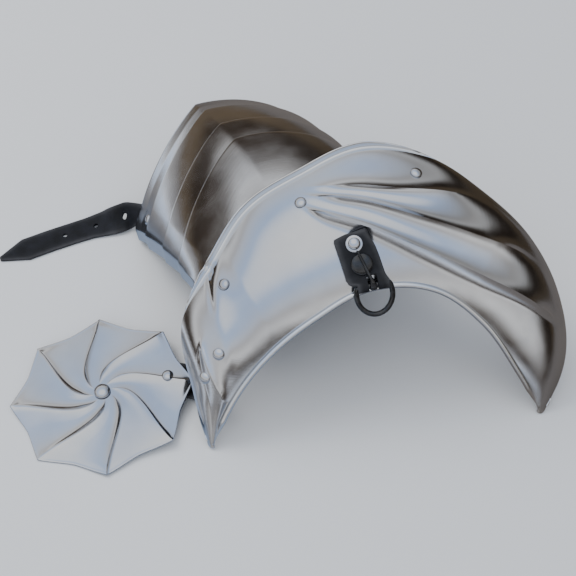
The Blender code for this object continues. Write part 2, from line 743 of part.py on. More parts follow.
def make_buckle(leather, iron, steel, collection, cutters):
    centre, out, run, climb = bar_frame()
    per_share = np.linalg.norm(neck_place(0.0, 0.0, 0.01)[0] - neck_place(0.0, 0.0)[0]) / 0.01
    rows = []
    for reach, height in tab_path():
        bent = float(np.interp(reach, TAB_WIDENS, (0, 1)))
        middle = centre + climb * (reach - BAR_REACH) + out * (height - bar_height())
        wide = TAB_WIDTH * (1 - TAB_NARROWING * max(0, reach) / TAB_LENGTH)
        rows.append([(middle + run * FOLD_WIDTH * step) * (1 - bent)
                     + neck_place(reach, height, step * wide / per_share)[0] * bent
                     for step in np.linspace(-0.5, 0.5, 4)])
    tab = ribbon("buckle_tab", rows, leather, collection)[0]

    bpy.ops.mesh.primitive_cube_add(size=1)
    slot = bpy.context.active_object
    slot.name = "tongue_slot"
    middle = Vector(centre) + Vector(climb) * 0.001 + Vector(out) * 0.0015
    slot.matrix_world = frame_matrix(middle, out, run) @ Matrix.Diagonal((TONGUE_SLOT, SLOT_LENGTH, SLOT_LENGTH, 1))
    cut_with(tab, slot, cutters)

    top = tab_path()[-1][1] + LEATHER / 2
    for name, reach, dome, tall, base in (
            ("tab_rivet", TAB_RIVET_REACH, DOME, DOME_HEIGHT, CLEAR * 3 + WASHER_HEIGHT),
            ("tab_dome", TAB_DOME_REACH, TAB_DOME, TAB_DOME_HEIGHT, CLEAR * 2)):
        point, normal, across, _ = neck_place(reach, top)
        frame = frame_matrix(point, normal, across)
        depth = top + STEEL + CLEAR
        turned(name, rivet_profile(dome, tall, base, depth), frame, iron if name == "tab_dome" else steel, collection)
        drill(tab, frame, SHANK + CLEAR, 0.014, cutters)
        drill(bpy.data.objects["main_plate"], frame, SHANK + CLEAR, 0.022, cutters)
        if name == "tab_rivet":
            inner = SHANK + CLEAR
            low = CLEAR * 2
            high = low + WASHER_HEIGHT
            ring = [(WASHER, high), (WASHER, low), (inner, low), (inner, high), (WASHER, high)]
            turned("tab_washer", ring, frame, steel, collection, steps=FINE_STEPS)

    make_buckle_frame(centre, out, run, climb, iron, collection)
    make_tongue(centre, out, run, climb, iron, collection)


def make_buckle_frame(centre, out, run, climb, material, collection):
    """A D-shaped wire frame; its straight bar lies in the tab's fold."""
    ahead = -climb * math.cos(FRAME_DROP) - out * math.sin(FRAME_DROP)
    half = FRAME_WIDTH / 2
    shape = [(half * share, 0.0) for share in (-0.9, -0.45, 0.0, 0.45, 0.9)]
    for turn in np.radians(np.linspace(-12, 192, 19)):
        shape.append((half * math.cos(turn), FRAME_REACH * 0.30 + FRAME_REACH * 0.70 * math.sin(turn)))
    curve = bpy.data.curves.new("buckle_frame", "CURVE")
    curve.dimensions = "3D"
    curve.bevel_depth = BAR_RADIUS
    curve.bevel_resolution = 2
    spline = curve.splines.new("POLY")
    spline.points.add(len(shape) - 1)
    spline.use_cyclic_u = True
    for point, (side, reach) in zip(spline.points, shape):
        point.co = (*(Vector(run) * side + Vector(ahead) * reach), 1.0)
    guide = bpy.data.objects.new("buckle_frame_guide", curve)
    collection.objects.link(guide)
    bpy.context.view_layer.update()
    mesh = bpy.data.meshes.new_from_object(guide.evaluated_get(bpy.context.evaluated_depsgraph_get()))
    bpy.data.objects.remove(guide, do_unlink=True)
    mesh.materials.clear()
    faces_outward(mesh)
    smooth_round(mesh, math.radians(60))
    item = add_object("buckle_frame", mesh, material, collection)
    item.location = centre


def make_tongue(centre, out, run, climb, material, collection):
    """An eye round the bar with a tapering pin that lies back over the tab."""
    inner = BAR_RADIUS + CLEAR
    outer = inner + TONGUE_RADIUS
    half = TONGUE_SLOT / 2 - CLEAR * 3
    ring = [(outer, half), (outer, -half), (inner, -half), (inner, half), (outer, half)]
    eye = turned("buckle_tongue", ring, frame_matrix((0, 0, 0), run, climb), material, collection, steps=FINE_STEPS)
    eye.location = centre
    start = out * (inner + TONGUE_RADIUS + CLEAR / 2)
    tip = neck_place(TONGUE_TIP, tab_path()[-1][1] + LEATHER / 2 + CLEAR * 5 + TAB_DOME_HEIGHT + TONGUE_RADIUS)[0]
    reach = unit(tip - centre - start)
    length = float(np.linalg.norm(tip - centre - start))
    middle = start + reach * (length / 2 - CLEAR * 3)
    bpy.ops.mesh.primitive_cone_add(vertices=10, radius1=TONGUE_RADIUS, radius2=TONGUE_RADIUS * 0.55, depth=length)
    pin = bpy.context.active_object
    pin.name = "tongue_pin"
    pin.matrix_world = frame_matrix(Vector(centre) + Vector(middle), reach, run + climb * 0.2)
    for holder in list(pin.users_collection):
        holder.objects.unlink(pin)
    bpy.data.collections["cutters"].objects.link(pin)
    pin.hide_render = True
    pin.display_type = "WIRE"
    join = eye.modifiers.new("join", "BOOLEAN")
    join.operation = "UNION"
    join.solver = "EXACT"
    join.object = pin


# Arm strap

def make_arm_strap(leather, steel, collection, cutters):
    deep = STEEL + CLEAR + STAND_OFF + LEATHER / 2
    place, angle = ARM_STRAP_RIVET
    half = math.degrees(STRAP_WIDTH / 2 / ARM_FRONT)
    spread = np.linspace(-half, half, 3)
    rows = [arm_point(np.full(3, place + back), angle + turn + spread, np.full(3, -deep))[0]
            for back, turn in ARM_STRAP_HELD]
    for x, y, z, rise in ARM_STRAP_ROUTE:
        rows.append(across_flat((x, y, z + LEATHER / 2 + CLEAR), (0, 1 - rise, rise), STRAP_WIDTH))
    strap, grid, left = ribbon("arm_strap", smooth_rows(rows, 36), leather, collection, taper=ARM_STRAP_POINT)
    for distance in ARM_STRAP_HOLES:
        index = int(np.argmin(np.abs(left - distance)))
        spot = frame_matrix(grid[index].mean(0) + np.array([0, 0.0003, 0]), (0, 0, 1), (0.9, 0.3, 0))
        drill(strap, spot, ARM_STRAP_HOLE, 0.012, cutters)

    point, out = arm_point(np.array([place]), np.array([angle]))
    frame = frame_matrix(point[0], out[0], (0.15, 1, 0.1))
    depth = STEEL + STAND_OFF + LEATHER + CLEAR * 2
    turned("arm_strap_rivet", rivet_profile(DOME, DOME_HEIGHT, CLEAR, depth), frame, steel, collection)
    drill(bpy.data.objects["lame_1"], frame, SHANK + CLEAR, 0.012, cutters)
    drill(strap, frame, SHANK + CLEAR, 0.018, cutters)


# Besagew

def besagew_frame():
    up = Vector((-math.sin(BESAGEW_TILT) * math.cos(BESAGEW_TILT_HEADING),
                 -math.sin(BESAGEW_TILT) * math.sin(BESAGEW_TILT_HEADING), math.cos(BESAGEW_TILT)))
    return frame_matrix(BESAGEW_PLACE, up, (1, 0, 0))


def besagew_swirl(radius_share):
    """How far a flute has turned from its point on the edge, clockwise outward."""
    return BESAGEW_SWIRL * (1 - radius_share) ** BESAGEW_SWIRL_POWER


def besagew_surface(radius_share, angle):
    """Height of the disc over its own plane: a low crown with a crest along each swirling flute."""
    phase = ((angle - BESAGEW_TURN - besagew_swirl(radius_share)) * BESAGEW_POINTS / (2 * math.pi)) % 1.0
    crest = np.abs(1 - 2 * phase) ** 2.0
    fade = np.clip((radius_share - 0.10) / 0.25, 0, 1)
    return BESAGEW_CROWN * (1 - radius_share ** 2) + BESAGEW_RELIEF * crest * fade


def besagew_edge(angle):
    phase = ((angle - BESAGEW_TURN) * BESAGEW_POINTS / (2 * math.pi)) % 1.0
    middle = math.cos(math.pi / BESAGEW_POINTS) - BESAGEW_EDGE_DIP
    return BESAGEW_RADIUS * (middle + (1 - middle) * np.abs(1 - 2 * phase) ** 1.7)


def make_besagew(steel, leather, collection, cutters):
    rings = BESAGEW_RINGS
    spokes = BESAGEW_SPOKES
    share = np.linspace(BESAGEW_EYE, 1, rings)[:, None]
    turn = np.linspace(0, 2 * np.pi, spokes, endpoint=False)[None, :]
    angle = turn + besagew_swirl(share) + BESAGEW_TURN
    angle, share = np.broadcast_arrays(angle, share)
    reach = share * (besagew_edge(angle) * share + BESAGEW_RADIUS * 0.94 * (1 - share))
    height = besagew_surface(share, angle)
    points = np.stack([reach * np.cos(angle), reach * np.sin(angle), height], -1).reshape(-1, 3)
    points = np.vstack([points, [0, 0, BESAGEW_CROWN]])
    faces = grid_faces(rings, spokes, around=True)
    faces = [tuple(reversed(face)) for face in faces]
    faces += [(column, (column + 1) % spokes, len(points) - 1) for column in range(spokes)]
    mesh = mesh_from("besagew", points, faces)
    work = bmesh.new()
    work.from_mesh(mesh)
    bmesh.ops.recalc_face_normals(work, faces=work.faces[:])
    if sum(face.normal.z for face in work.faces) < 0:
        bmesh.ops.reverse_faces(work, faces=work.faces[:])
    work.to_mesh(mesh)
    work.free()
    disc = add_object("besagew", mesh, steel, collection)
    frame = besagew_frame()
    disc.matrix_world = frame
    smooth_round(mesh, math.radians(40))
    add_shell_thickness(disc, STEEL)

    hub = frame @ Matrix.Translation((0, 0, BESAGEW_CROWN + BESAGEW_RELIEF * 0.2))
    depth = STEEL + BESAGEW_RELIEF * 0.2 + CLEAR
    turned("besagew_hub", rivet_profile(HUB_DOME, HUB_HEIGHT, CLEAR, depth), hub, steel, collection, steps=FINE_STEPS)
    drill(disc, hub, SHANK + CLEAR, 0.012, cutters)

    reach = BESAGEW_RIVET_REACH
    heading = BESAGEW_RIVET_HEADING
    local = Vector((reach * math.cos(heading), reach * math.sin(heading), 0))
    local.z = float(BESAGEW_CROWN * (1 - (reach / BESAGEW_RADIUS) ** 2)) + BESAGEW_RELIEF
    spot = frame @ Matrix.Translation(local)
    depth = STEEL + BESAGEW_RELIEF + STAND_OFF + LEATHER + CLEAR * 3
    turned("besagew_rivet", rivet_profile(DOME, DOME_HEIGHT, CLEAR, depth), spot, steel, collection)
    drill(disc, spot, SHANK + CLEAR, 0.014, cutters)
    return spot, depth


def make_besagew_strap(spot, depth, leather, collection, cutters):
    """The strap from its two rivets inside the front wing, down and under the disc."""
    deep = STEEL + CLEAR * 5 + LEATHER / 2
    rows = [across_plate(share, across, turn, BESAGEW_STRAP_WIDTH, deep)
            for share, across, turn in BESAGEW_STRAP_HELD]
    rows += [across_flat(middle, side, BESAGEW_STRAP_WIDTH) for middle, side in BESAGEW_STRAP_ROUTE]
    low = -(depth - LEATHER / 2 - CLEAR * 2)
    heading = Vector((BESAGEW_STRAP_ROUTE[-1][1][1], -BESAGEW_STRAP_ROUTE[-1][1][0], 0))
    side = Vector(BESAGEW_STRAP_ROUTE[-1][1])
    for reach in (0.011, 0.0, -0.011):
        rows.append([spot @ (heading * reach + side * step + Vector((0, 0, low)))
                     for step in np.linspace(-0.5, 0.5, 3) * BESAGEW_STRAP_WIDTH])
    strap = ribbon("besagew_strap", smooth_rows(rows, 21), leather, collection)[0]
    drill(strap, spot, SHANK + CLEAR, 0.030, cutters)
    return strap


def centre_on_origin(collection):
    """Sets the object on the ground plane with the middle of its box over the origin."""
    bpy.context.view_layer.update()
    graph = bpy.context.evaluated_depsgraph_get()
    corners = []
    for item in collection.objects:
        mesh = item.evaluated_get(graph).to_mesh()
        spots = np.empty(len(mesh.vertices) * 3)
        mesh.vertices.foreach_get("co", spots)
        world = np.array(item.matrix_world)
        corners.append(spots.reshape(-1, 3) @ world[:3, :3].T + world[:3, 3])
    every = np.vstack(corners)
    low, high = every.min(0), every.max(0)
    shift = Vector((-(low[0] + high[0]) / 2, -(low[1] + high[1]) / 2, -low[2]))
    for item in bpy.data.objects:
        item.matrix_world = Matrix.Translation(shift) @ item.matrix_world
    bpy.context.view_layer.update()


def main():
    remove_everything()
    collection = make_collection(OBJECT_NAME)
    cutters = make_collection("cutters")
    steel = make_material("polished_steel", (0.62, 0.63, 0.65), 0.22, 1.0)
    leather = make_material("black_leather", (0.02, 0.02, 0.022), 0.5, 0.0)
    iron = make_material("black_iron", (0.03, 0.03, 0.033), 0.3, 0.6)

    plate = make_main_plate(steel, collection)
    for number in range(len(LAME_EDGES)):
        make_lame(number, steel, collection)
    make_arm_strap(leather, steel, collection, cutters)
    spot, depth = make_besagew(steel, leather, collection, cutters)
    besagew_strap = make_besagew_strap(spot, depth, leather, collection, cutters)

    top = inner_leather("leather_top", TOP_RIVET, INNER_TOP, leather, collection)
    back = inner_leather("leather_back", BACK_RIVET, INNER_BACK, leather, collection)
    front = inner_leather("leather_front", FRONT_RIVET, INNER_FRONT, leather, collection)
    for name, place, layer in (("rivet_top", TOP_RIVET, top), ("rivet_back", BACK_RIVET, back),
                               ("rivet_front", FRONT_RIVET, front),
                               ("rivet_wing_upper", WING_UPPER_RIVET, besagew_strap),
                               ("rivet_wing_lower", WING_LOWER_RIVET, besagew_strap)):
        plate_rivet(name, place, plate, layer, steel, collection, cutters)
    make_buckle(leather, iron, steel, collection, cutters)
    centre_on_origin(collection)


main()
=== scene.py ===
import math

import bmesh
import bpy
import numpy as np
from mathutils import Matrix, Vector


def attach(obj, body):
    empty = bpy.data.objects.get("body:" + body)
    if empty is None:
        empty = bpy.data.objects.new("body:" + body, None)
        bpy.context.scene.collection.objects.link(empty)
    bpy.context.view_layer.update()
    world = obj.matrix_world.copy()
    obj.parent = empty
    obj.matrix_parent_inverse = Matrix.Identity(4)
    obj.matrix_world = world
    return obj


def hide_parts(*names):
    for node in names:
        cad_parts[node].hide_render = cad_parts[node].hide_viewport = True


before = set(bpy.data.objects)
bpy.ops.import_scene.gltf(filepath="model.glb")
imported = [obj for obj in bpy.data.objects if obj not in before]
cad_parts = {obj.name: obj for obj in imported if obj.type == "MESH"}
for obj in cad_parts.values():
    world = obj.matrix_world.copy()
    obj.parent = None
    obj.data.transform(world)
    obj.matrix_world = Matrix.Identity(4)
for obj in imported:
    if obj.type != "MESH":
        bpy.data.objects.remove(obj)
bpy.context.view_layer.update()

print("stage: frame loaded")

# Shared sizes in metres; shapes are worked out about the armourer's own origin and set into the frame here
sheetSteel = 0.0015
hide = 0.0022
gap = 0.0003
standOff = 0.0012
wearReach = 0.0018
strapColumns = 9
frameShift = np.array([0.025992, -0.026824, -0.000122])

plateBody = "pauldron_body"
frameBody = "buckle_frame_body"
tongueBody = "buckle_tongue_body"


# Grid surfaces

def unitRows(rows):
    # every row divided by its own length
    return rows / np.maximum(np.linalg.norm(rows, axis=-1, keepdims=True), 1e-12)


def throughTable(values, share):
    # Catmull-Rom curve through evenly spaced rows, share running from 0 to 1
    rows = np.asarray(values, float)
    if rows.ndim == 1:
        rows = rows[:, None]
    rows = np.vstack([2 * rows[0] - rows[1], rows, 2 * rows[-1] - rows[-2]])
    place = np.clip(np.asarray(share, float), 0, 1) * (len(rows) - 3)
    low = np.minimum(place.astype(int), len(rows) - 4)
    part = (place - low)[..., None]
    a, b, c, d = (rows[low + k] for k in range(4))
    curve = 0.5 * (2 * b + (c - a) * part + (2 * a - 5 * b + 4 * c - d) * part ** 2
                   + (3 * b - a - 3 * c + d) * part ** 3)
    return curve[..., 0] if np.ndim(values[0]) == 0 else curve


def smoothStep(low, high, value):
    # 0 below low, 1 above high, an S curve between
    part = np.clip((value - low) / (high - low), 0, 1)
    return part * part * (3 - 2 * part)


def gridQuads(rows, columns, around=False):
    # corner numbers of each cell of a grid; around joins the last column to the first
    wide = columns if around else columns - 1
    row, column = np.meshgrid(np.arange(rows - 1), np.arange(wide), indexing="ij")
    after = (column + 1) % columns
    first = row * columns
    cells = [first + column, first + after, first + columns + after, first + columns + column]
    return np.stack(cells, -1).reshape(-1, 4)


def normalsOf(grid):
    # cross product of the run along the columns and the run down the rows
    return unitRows(np.cross(np.gradient(grid, axis=1), np.gradient(grid, axis=0)))


def loopOf(rows, columns):
    # numbers of a grid's edge points, once round from its first corner
    top = np.arange(columns)
    right = np.arange(1, rows) * columns + columns - 1
    bottom = (rows - 1) * columns + np.arange(columns - 2, -1, -1)
    left = np.arange(rows - 2, 0, -1) * columns
    return np.concatenate([top, right, bottom, left])


def distanceAlong(path):
    # metres travelled from the first point of a path to each of its points
    return np.concatenate([[0], np.cumsum(np.linalg.norm(np.diff(path, axis=0), axis=1))])


def readAt(places, travel, rows):
    # every column of a table read at new places along its travel
    return np.stack([np.interp(places, travel, rows[:, column]) for column in range(rows.shape[1])], -1)


def surfaceMeasures(grid):
    # metres along the columns and down the rows at each point, and the distance to the nearest edge
    along = np.zeros(grid.shape[:2])
    down = np.zeros(grid.shape[:2])
    along[:, 1:] = np.cumsum(np.linalg.norm(np.diff(grid, axis=1), axis=-1), axis=1)
    down[1:] = np.cumsum(np.linalg.norm(np.diff(grid, axis=0), axis=-1), axis=0)
    edge = np.minimum(np.minimum(along, along[:, -1:] - along), np.minimum(down, down[-1:] - down))
    return np.stack([along, down], -1), edge


def shellFrom(outer, inner, rings):
    # an outer and an inner grid, joined round their edge by rings of points
    rows, columns = outer.shape[:2]
    loop = loopOf(rows, columns)
    size = rows * columns
    count = len(loop)
    quads = [gridQuads(rows, columns)]
    previous = loop
    innerStart = size + len(rings) * count
    starts = [size + number * count + np.arange(count) for number in range(len(rings))]
    for ring in starts + [innerStart + loop]:
        quads.append(np.stack([np.roll(previous, -1), previous, ring, np.roll(ring, -1)], -1))
        previous = ring
    quads.append(gridQuads(rows, columns)[:, ::-1] + innerStart)
    points = np.vstack([outer.reshape(-1, 3), *rings, inner.reshape(-1, 3)])
    measure, edge = surfaceMeasures(outer)
    measure = measure.reshape(-1, 2)
    edge = edge.reshape(-1)
    uv = np.vstack([measure] + [measure[loop]] * len(rings) + [measure])
    near = np.concatenate([edge, np.zeros(count * len(rings)), edge])
    return points, np.vstack(quads), uv, np.exp(-near / wearReach)


def edgeFrame(grid):
    # edge points of a grid with their outward direction in the surface and their normal
    loop = loopOf(*grid.shape[:2])
    edge = grid.reshape(-1, 3)[loop]
    normal = normalsOf(grid).reshape(-1, 3)[loop]
    outs = unitRows(np.cross(unitRows(np.roll(edge, -1, 0) - np.roll(edge, 1, 0)), normal))
    return edge, outs, normal


def walled(grid, thickness, raised=0.0, squareness=3.0):
    # a sheet of even thickness under a grid, its edge rounded as a superellipse
    normal = normalsOf(grid)
    outer = grid + normal * raised
    inner = outer - normal * thickness
    edge, outs, up = edgeFrame(outer)
    half = thickness / 2
    rings = []
    for angle in np.radians([25, 50, 90, 130, 155]):
        rise = math.copysign(abs(math.cos(angle)) ** (2 / squareness), math.cos(angle))
        reach = math.sin(angle) ** (2 / squareness)
        rings.append(edge - up * half + up * half * rise + outs * half * reach)
    return shellFrom(outer, inner, rings)


def addPiece(name, shape, material, body, nodes, sharp=40):
    # points, faces and, where given, the surface's own measures become one finished piece
    points, quads = shape[:2]
    mesh = bpy.data.meshes.new(name)
    mesh.from_pydata((np.asarray(points, float) + frameShift).tolist(), [], np.asarray(quads).tolist())
    if len(shape) > 2:
        layer = mesh.uv_layers.new(name="surface")
        corners = np.empty(len(mesh.loops), dtype=np.int32)
        mesh.loops.foreach_get("vertex_index", corners)
        layer.data.foreach_set("uv", shape[2][corners].astype(np.float32).ravel())
        wear = mesh.attributes.new("edgeWear", "FLOAT", "POINT")
        wear.data.foreach_set("value", shape[3].astype(np.float32))
    mesh.update()
    mesh.shade_smooth()
    mesh.set_sharp_from_angle(angle=math.radians(sharp))
    mesh.materials.append(material)
    piece = bpy.data.objects.new(name, mesh)
    bpy.context.scene.collection.objects.link(piece)
    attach(piece, body)
    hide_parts(*nodes)
    return piece


def closePoles(piece):
    # merges the doubled points at a pole or a seam and turns the faces outward
    work = bmesh.new()
    work.from_mesh(piece.data)
    bmesh.ops.remove_doubles(work, verts=work.verts[:], dist=1e-6)
    bmesh.ops.recalc_face_normals(work, faces=work.faces[:])
    work.to_mesh(piece.data)
    work.free()


def closeAndShade(piece, sharp):
    # poles closed, then smooth shading broken only at edges sharper than the angle
    closePoles(piece)
    piece.data.shade_smooth()
    piece.data.set_sharp_from_angle(angle=math.radians(sharp))


def setFrame(point, normal, run=(1, 0, 0)):
    # axes with Z along the normal and X along the run, as a 4 by 4 matrix
    normal = Vector(normal).normalized()
    run = Vector(run)
    run = (run - normal * run.dot(normal)).normalized()
    return Matrix.Translation(Vector(point)) @ Matrix((run, normal.cross(run), normal)).transposed().to_4x4()


def placed(points, place):
    # points carried from a set frame into the armour's own axes
    axes = np.array(place)
    return points @ axes[:3, :3].T + axes[:3, 3]


def turnedShape(profile, place, steps=56):
    # radius and height rows swung once round the axis of a set frame
    rows = np.asarray(profile, float)
    turn = np.linspace(0, 2 * np.pi, steps, endpoint=False)
    radius = rows[:, :1]
    height = np.broadcast_to(rows[:, 1:], (len(rows), steps))
    grid = np.stack([radius * np.cos(turn), radius * np.sin(turn), height], -1)
    return placed(grid.reshape(-1, 3), place), gridQuads(len(rows), steps, around=True)


def cutPiece(piece, cutters):
    # boolean cuts, made part of the mesh so that nothing stays live
    for cutter in cutters:
        cut = piece.modifiers.new("cut", "BOOLEAN")
        cut.operation = "DIFFERENCE"
        cut.solver = "EXACT"
        cut.object = cutter
    bpy.context.view_layer.update()
    done = bpy.data.meshes.new_from_object(piece.evaluated_get(bpy.context.evaluated_depsgraph_get()))
    piece.modifiers.clear()
    piece.data = done
    for cutter in cutters:
        bpy.data.objects.remove(cutter, do_unlink=True)


def cutterFrom(shape):
    # a closed mesh used once for a cut
    mesh = bpy.data.meshes.new("cutter")
    mesh.from_pydata((shape[0] + frameShift).tolist(), [], np.asarray(shape[1]).tolist())
    cutter = bpy.data.objects.new("cutter", mesh)
    bpy.context.scene.collection.objects.link(cutter)
    closePoles(cutter)
    return cutter


# Materials

def newMaterial(name):
    # an empty node tree with its shader, ready for sockets and links
    material = bpy.data.materials.new(name)
    material.use_nodes = True
    nodes = material.node_tree.nodes
    return material, nodes, material.node_tree.links, nodes["Principled BSDF"]


def stretchedNoise(nodes, links, source, size, detail=4.0, rough=0.55, scale=(1, 1, 1)):
    # noise whose grains are stretched by a scale for each axis
    mapping = nodes.new("ShaderNodeMapping")
    mapping.inputs["Scale"].default_value = scale
    noise = nodes.new("ShaderNodeTexNoise")
    noise.inputs["Scale"].default_value = size
    noise.inputs["Detail"].default_value = detail
    noise.inputs["Roughness"].default_value = rough
    links.new(source, mapping.inputs["Vector"])
    links.new(mapping.outputs["Vector"], noise.inputs["Vector"])
    return noise.outputs["Fac"]


def rampBetween(nodes, links, source, stops):
    # a colour or grey ramp from (place, colour) stops
    ramp = nodes.new("ShaderNodeValToRGB")
    band = ramp.color_ramp
    while len(band.elements) < len(stops):
        band.elements.new(0.5)
    for element, (place, colour) in zip(band.elements, stops):
        element.position = place
        element.color = (*colour, 1.0) if len(colour) == 3 else (colour[0],) * 3 + (1.0,)
    links.new(source, ramp.inputs["Fac"])
    return ramp.outputs["Color"]


def mathNode(nodes, links, operation, *values):
    # one Math node fed by sockets and plain numbers
    node = nodes.new("ShaderNodeMath")
    node.operation = operation
    for socket, value in zip(node.inputs, values):
        if isinstance(value, float):
            socket.default_value = value
        else:
            links.new(value, socket)
    return node.outputs["Value"]


def mixedColour(nodes, links, factor, *colours):
    # the first colour at factor 0 and the second at 1, each a plain colour or a socket
    mix = nodes.new("ShaderNodeMix")
    mix.data_type = "RGBA"
    links.new(factor, mix.inputs["Factor"])
    for name, colour in zip("AB", colours):
        if isinstance(colour, tuple):
            mix.inputs[name].default_value = (*colour, 1.0)
        else:
            links.new(colour, mix.inputs[name])
    return mix.outputs["Result"]


def bumpOn(nodes, links, height, strength, distance, below=None):
    # a bump layer over an earlier one
    bump = nodes.new("ShaderNodeBump")
    bump.inputs["Strength"].default_value = strength
    bump.inputs["Distance"].default_value = distance
    links.new(height, bump.inputs["Height"])
    if below is not None:
        links.new(below, bump.inputs["Normal"])
    return bump.outputs["Normal"]


steelSettings = {
    "tones": ((0.35, (0.58, 0.60, 0.64)), (0.65, (0.70, 0.71, 0.73))),
    "worn": (0.80, 0.81, 0.82),
    "polish": (0.10, 0.20),
    "discPolish": (0.10, 0.22),
    # pattern sizes, then strength and depth of each relief
    "patches": 11.0,
    "smears": 46.0,
    "waves": 26.0,
    "waveBump": (0.10, 0.0015),
    "brushBump": (0.09, 0.0003),
    # how fine the polishing lines are along and down a surface, each metre
    "alongLines": (9, 900, 1),
    "downLines": (900, 9, 1),
}


def steelMaterial(name, brushed=True, polish="polish", lines="alongLines"):
    # bare steel: faint tone patches, low hammer waves, polishing lines and brighter edges
    material, nodes, links, shader = newMaterial(name)
    low, high = steelSettings[polish]
    coordinate = nodes.new("ShaderNodeTexCoord")
    patch = stretchedNoise(nodes, links, coordinate.outputs["Object"], steelSettings["patches"])
    colour = rampBetween(nodes, links, patch, steelSettings["tones"])
    if brushed:
        wear = nodes.new("ShaderNodeAttribute")
        wear.attribute_name = "edgeWear"
        colour = mixedColour(nodes, links, wear.outputs["Fac"], colour, steelSettings["worn"])
    links.new(colour, shader.inputs["Base Color"])
    smear = stretchedNoise(nodes, links, coordinate.outputs["Object"], steelSettings["smears"], 3.0)
    links.new(rampBetween(nodes, links, smear, ((0.3, (low,)), (0.72, (high,)))), shader.inputs["Roughness"])
    wave = stretchedNoise(nodes, links, coordinate.outputs["Object"], steelSettings["waves"], 1.0)
    normal = bumpOn(nodes, links, wave, *steelSettings["waveBump"])
    if brushed:
        line = stretchedNoise(nodes, links, coordinate.outputs["UV"], 1.0, 3.0, 0.6, steelSettings[lines])
        normal = bumpOn(nodes, links, line, *steelSettings["brushBump"], normal)
    links.new(normal, shader.inputs["Normal"])
    shader.inputs["Metallic"].default_value = 1.0
    return material


leatherSettings = {
    "tones": ((0.38, (0.0045, 0.0048, 0.0062)), (0.70, (0.015, 0.016, 0.021))),
    "rubbed": (0.075, 0.075, 0.080),
    "dullness": ((0.3, (0.42,)), (0.7, (0.62,))),
    "sheen": 0.28,
    # pattern sizes, then strength and depth of each relief
    "bloom": 70.0,
    "pebbles": 900.0,
    "creases": 260.0,
    "pebbleBump": (0.25, 0.0004),
    "creaseBump": (0.30, 0.0006),
}


def leatherMaterial(name):
    # black strap leather: pebbled grain, long creases, a dull bloom and rubbed edges
    material, nodes, links, shader = newMaterial(name)
    coordinate = nodes.new("ShaderNodeTexCoord")
    bloom = stretchedNoise(nodes, links, coordinate.outputs["Object"], leatherSettings["bloom"])
    colour = rampBetween(nodes, links, bloom, leatherSettings["tones"])
    wear = nodes.new("ShaderNodeAttribute")
    wear.attribute_name = "edgeWear"
    scuff = mathNode(nodes, links, "MULTIPLY", wear.outputs["Fac"], bloom)
    colour = mixedColour(nodes, links, scuff, colour, leatherSettings["rubbed"])
    links.new(colour, shader.inputs["Base Color"])
    links.new(rampBetween(nodes, links, bloom, leatherSettings["dullness"]), shader.inputs["Roughness"])
    pebble = nodes.new("ShaderNodeTexVoronoi")
    pebble.inputs["Scale"].default_value = leatherSettings["pebbles"]
    links.new(coordinate.outputs["Object"], pebble.inputs["Vector"])
    crease = stretchedNoise(nodes, links, coordinate.outputs["Object"], leatherSettings["creases"], 5.0)
    normal = bumpOn(nodes, links, pebble.outputs["Distance"], *leatherSettings["pebbleBump"])
    normal = bumpOn(nodes, links, crease, *leatherSettings["creaseBump"], normal)
    links.new(normal, shader.inputs["Normal"])
    shader.inputs["Specular IOR Level"].default_value = leatherSettings["sheen"]
    return material


lacquerSettings = {
    "tones": ((0.35, (0.006, 0.006, 0.007)), (0.72, (0.030, 0.031, 0.034))),
    "dullness": ((0.3, (0.16,)), (0.7, (0.34,))),
    "patches": 160.0,
    "peel": 620.0,
    "peelBump": (0.12, 0.0004),
    "metal": 0.35,
    "coat": 0.6,
}


def lacquerMaterial(name):
    # black lacquered iron: slight orange peel, with the coat thinner in patches
    material, nodes, links, shader = newMaterial(name)
    coordinate = nodes.new("ShaderNodeTexCoord")
    patch = stretchedNoise(nodes, links, coordinate.outputs["Object"], lacquerSettings["patches"])
    links.new(rampBetween(nodes, links, patch, lacquerSettings["tones"]), shader.inputs["Base Color"])
    links.new(rampBetween(nodes, links, patch, lacquerSettings["dullness"]), shader.inputs["Roughness"])
    peel = stretchedNoise(nodes, links, coordinate.outputs["Object"], lacquerSettings["peel"], 2.0)
    links.new(bumpOn(nodes, links, peel, *lacquerSettings["peelBump"]), shader.inputs["Normal"])
    shader.inputs["Metallic"].default_value = lacquerSettings["metal"]
    shader.inputs["Coat Weight"].default_value = lacquerSettings["coat"]
    return material


brushedSteel = steelMaterial("brushed_steel")
shoulderSteel = steelMaterial("shoulder_steel", lines="downLines")
polishedSteel = steelMaterial("polished_steel", brushed=False, polish="discPolish")
blackLeather = leatherMaterial("black_leather")
blackLacquer = lacquerMaterial("black_lacquer")
print("stage: materials")


# Main plate

plate = {
    "neckSpan": 0.2672,
    "neckRise": 0.1336,
    "neckLean": math.radians(30),
    "chordMiddle": (0.0185, -0.132, -0.0015),
    "chordTurn": math.radians(-17.4),
    "borderRadius": 0.151,
    "borderLift": 0.072,
    "borderShift": 0.0054,
    "borderLean": math.radians(45),
    "bulge": 0.016,
    "bulgeWidth": 0.09,
    "tipShare": 0.018,
    "tipEase": 0.034,
    "columns": 261,
    "rows": (34, 14, 14, 24),
    "rollRadius": 0.0009,
    "rollTurn": 230,
    "flangeBend": 0.0012,
    "flangeHeight": 0.0045,
    "flangeSpan": (0.17, 0.22, 0.50, 0.60),
    "plainTip": 0.05,
    "plainEdge": 0.0006,
    "neckShares": (1.0, 0.902, 0.849, 0.852, 0.928, 0.957, 0.922, 0.915, 1.0),
    "borderShares": (1.037, 0.999, 1.033, 0.966, 0.988, 0.982, 1.038, 1.028, 0.990, 1.003, 1.021, 1.030,
                     0.974),
    "tipPull": 6,
}

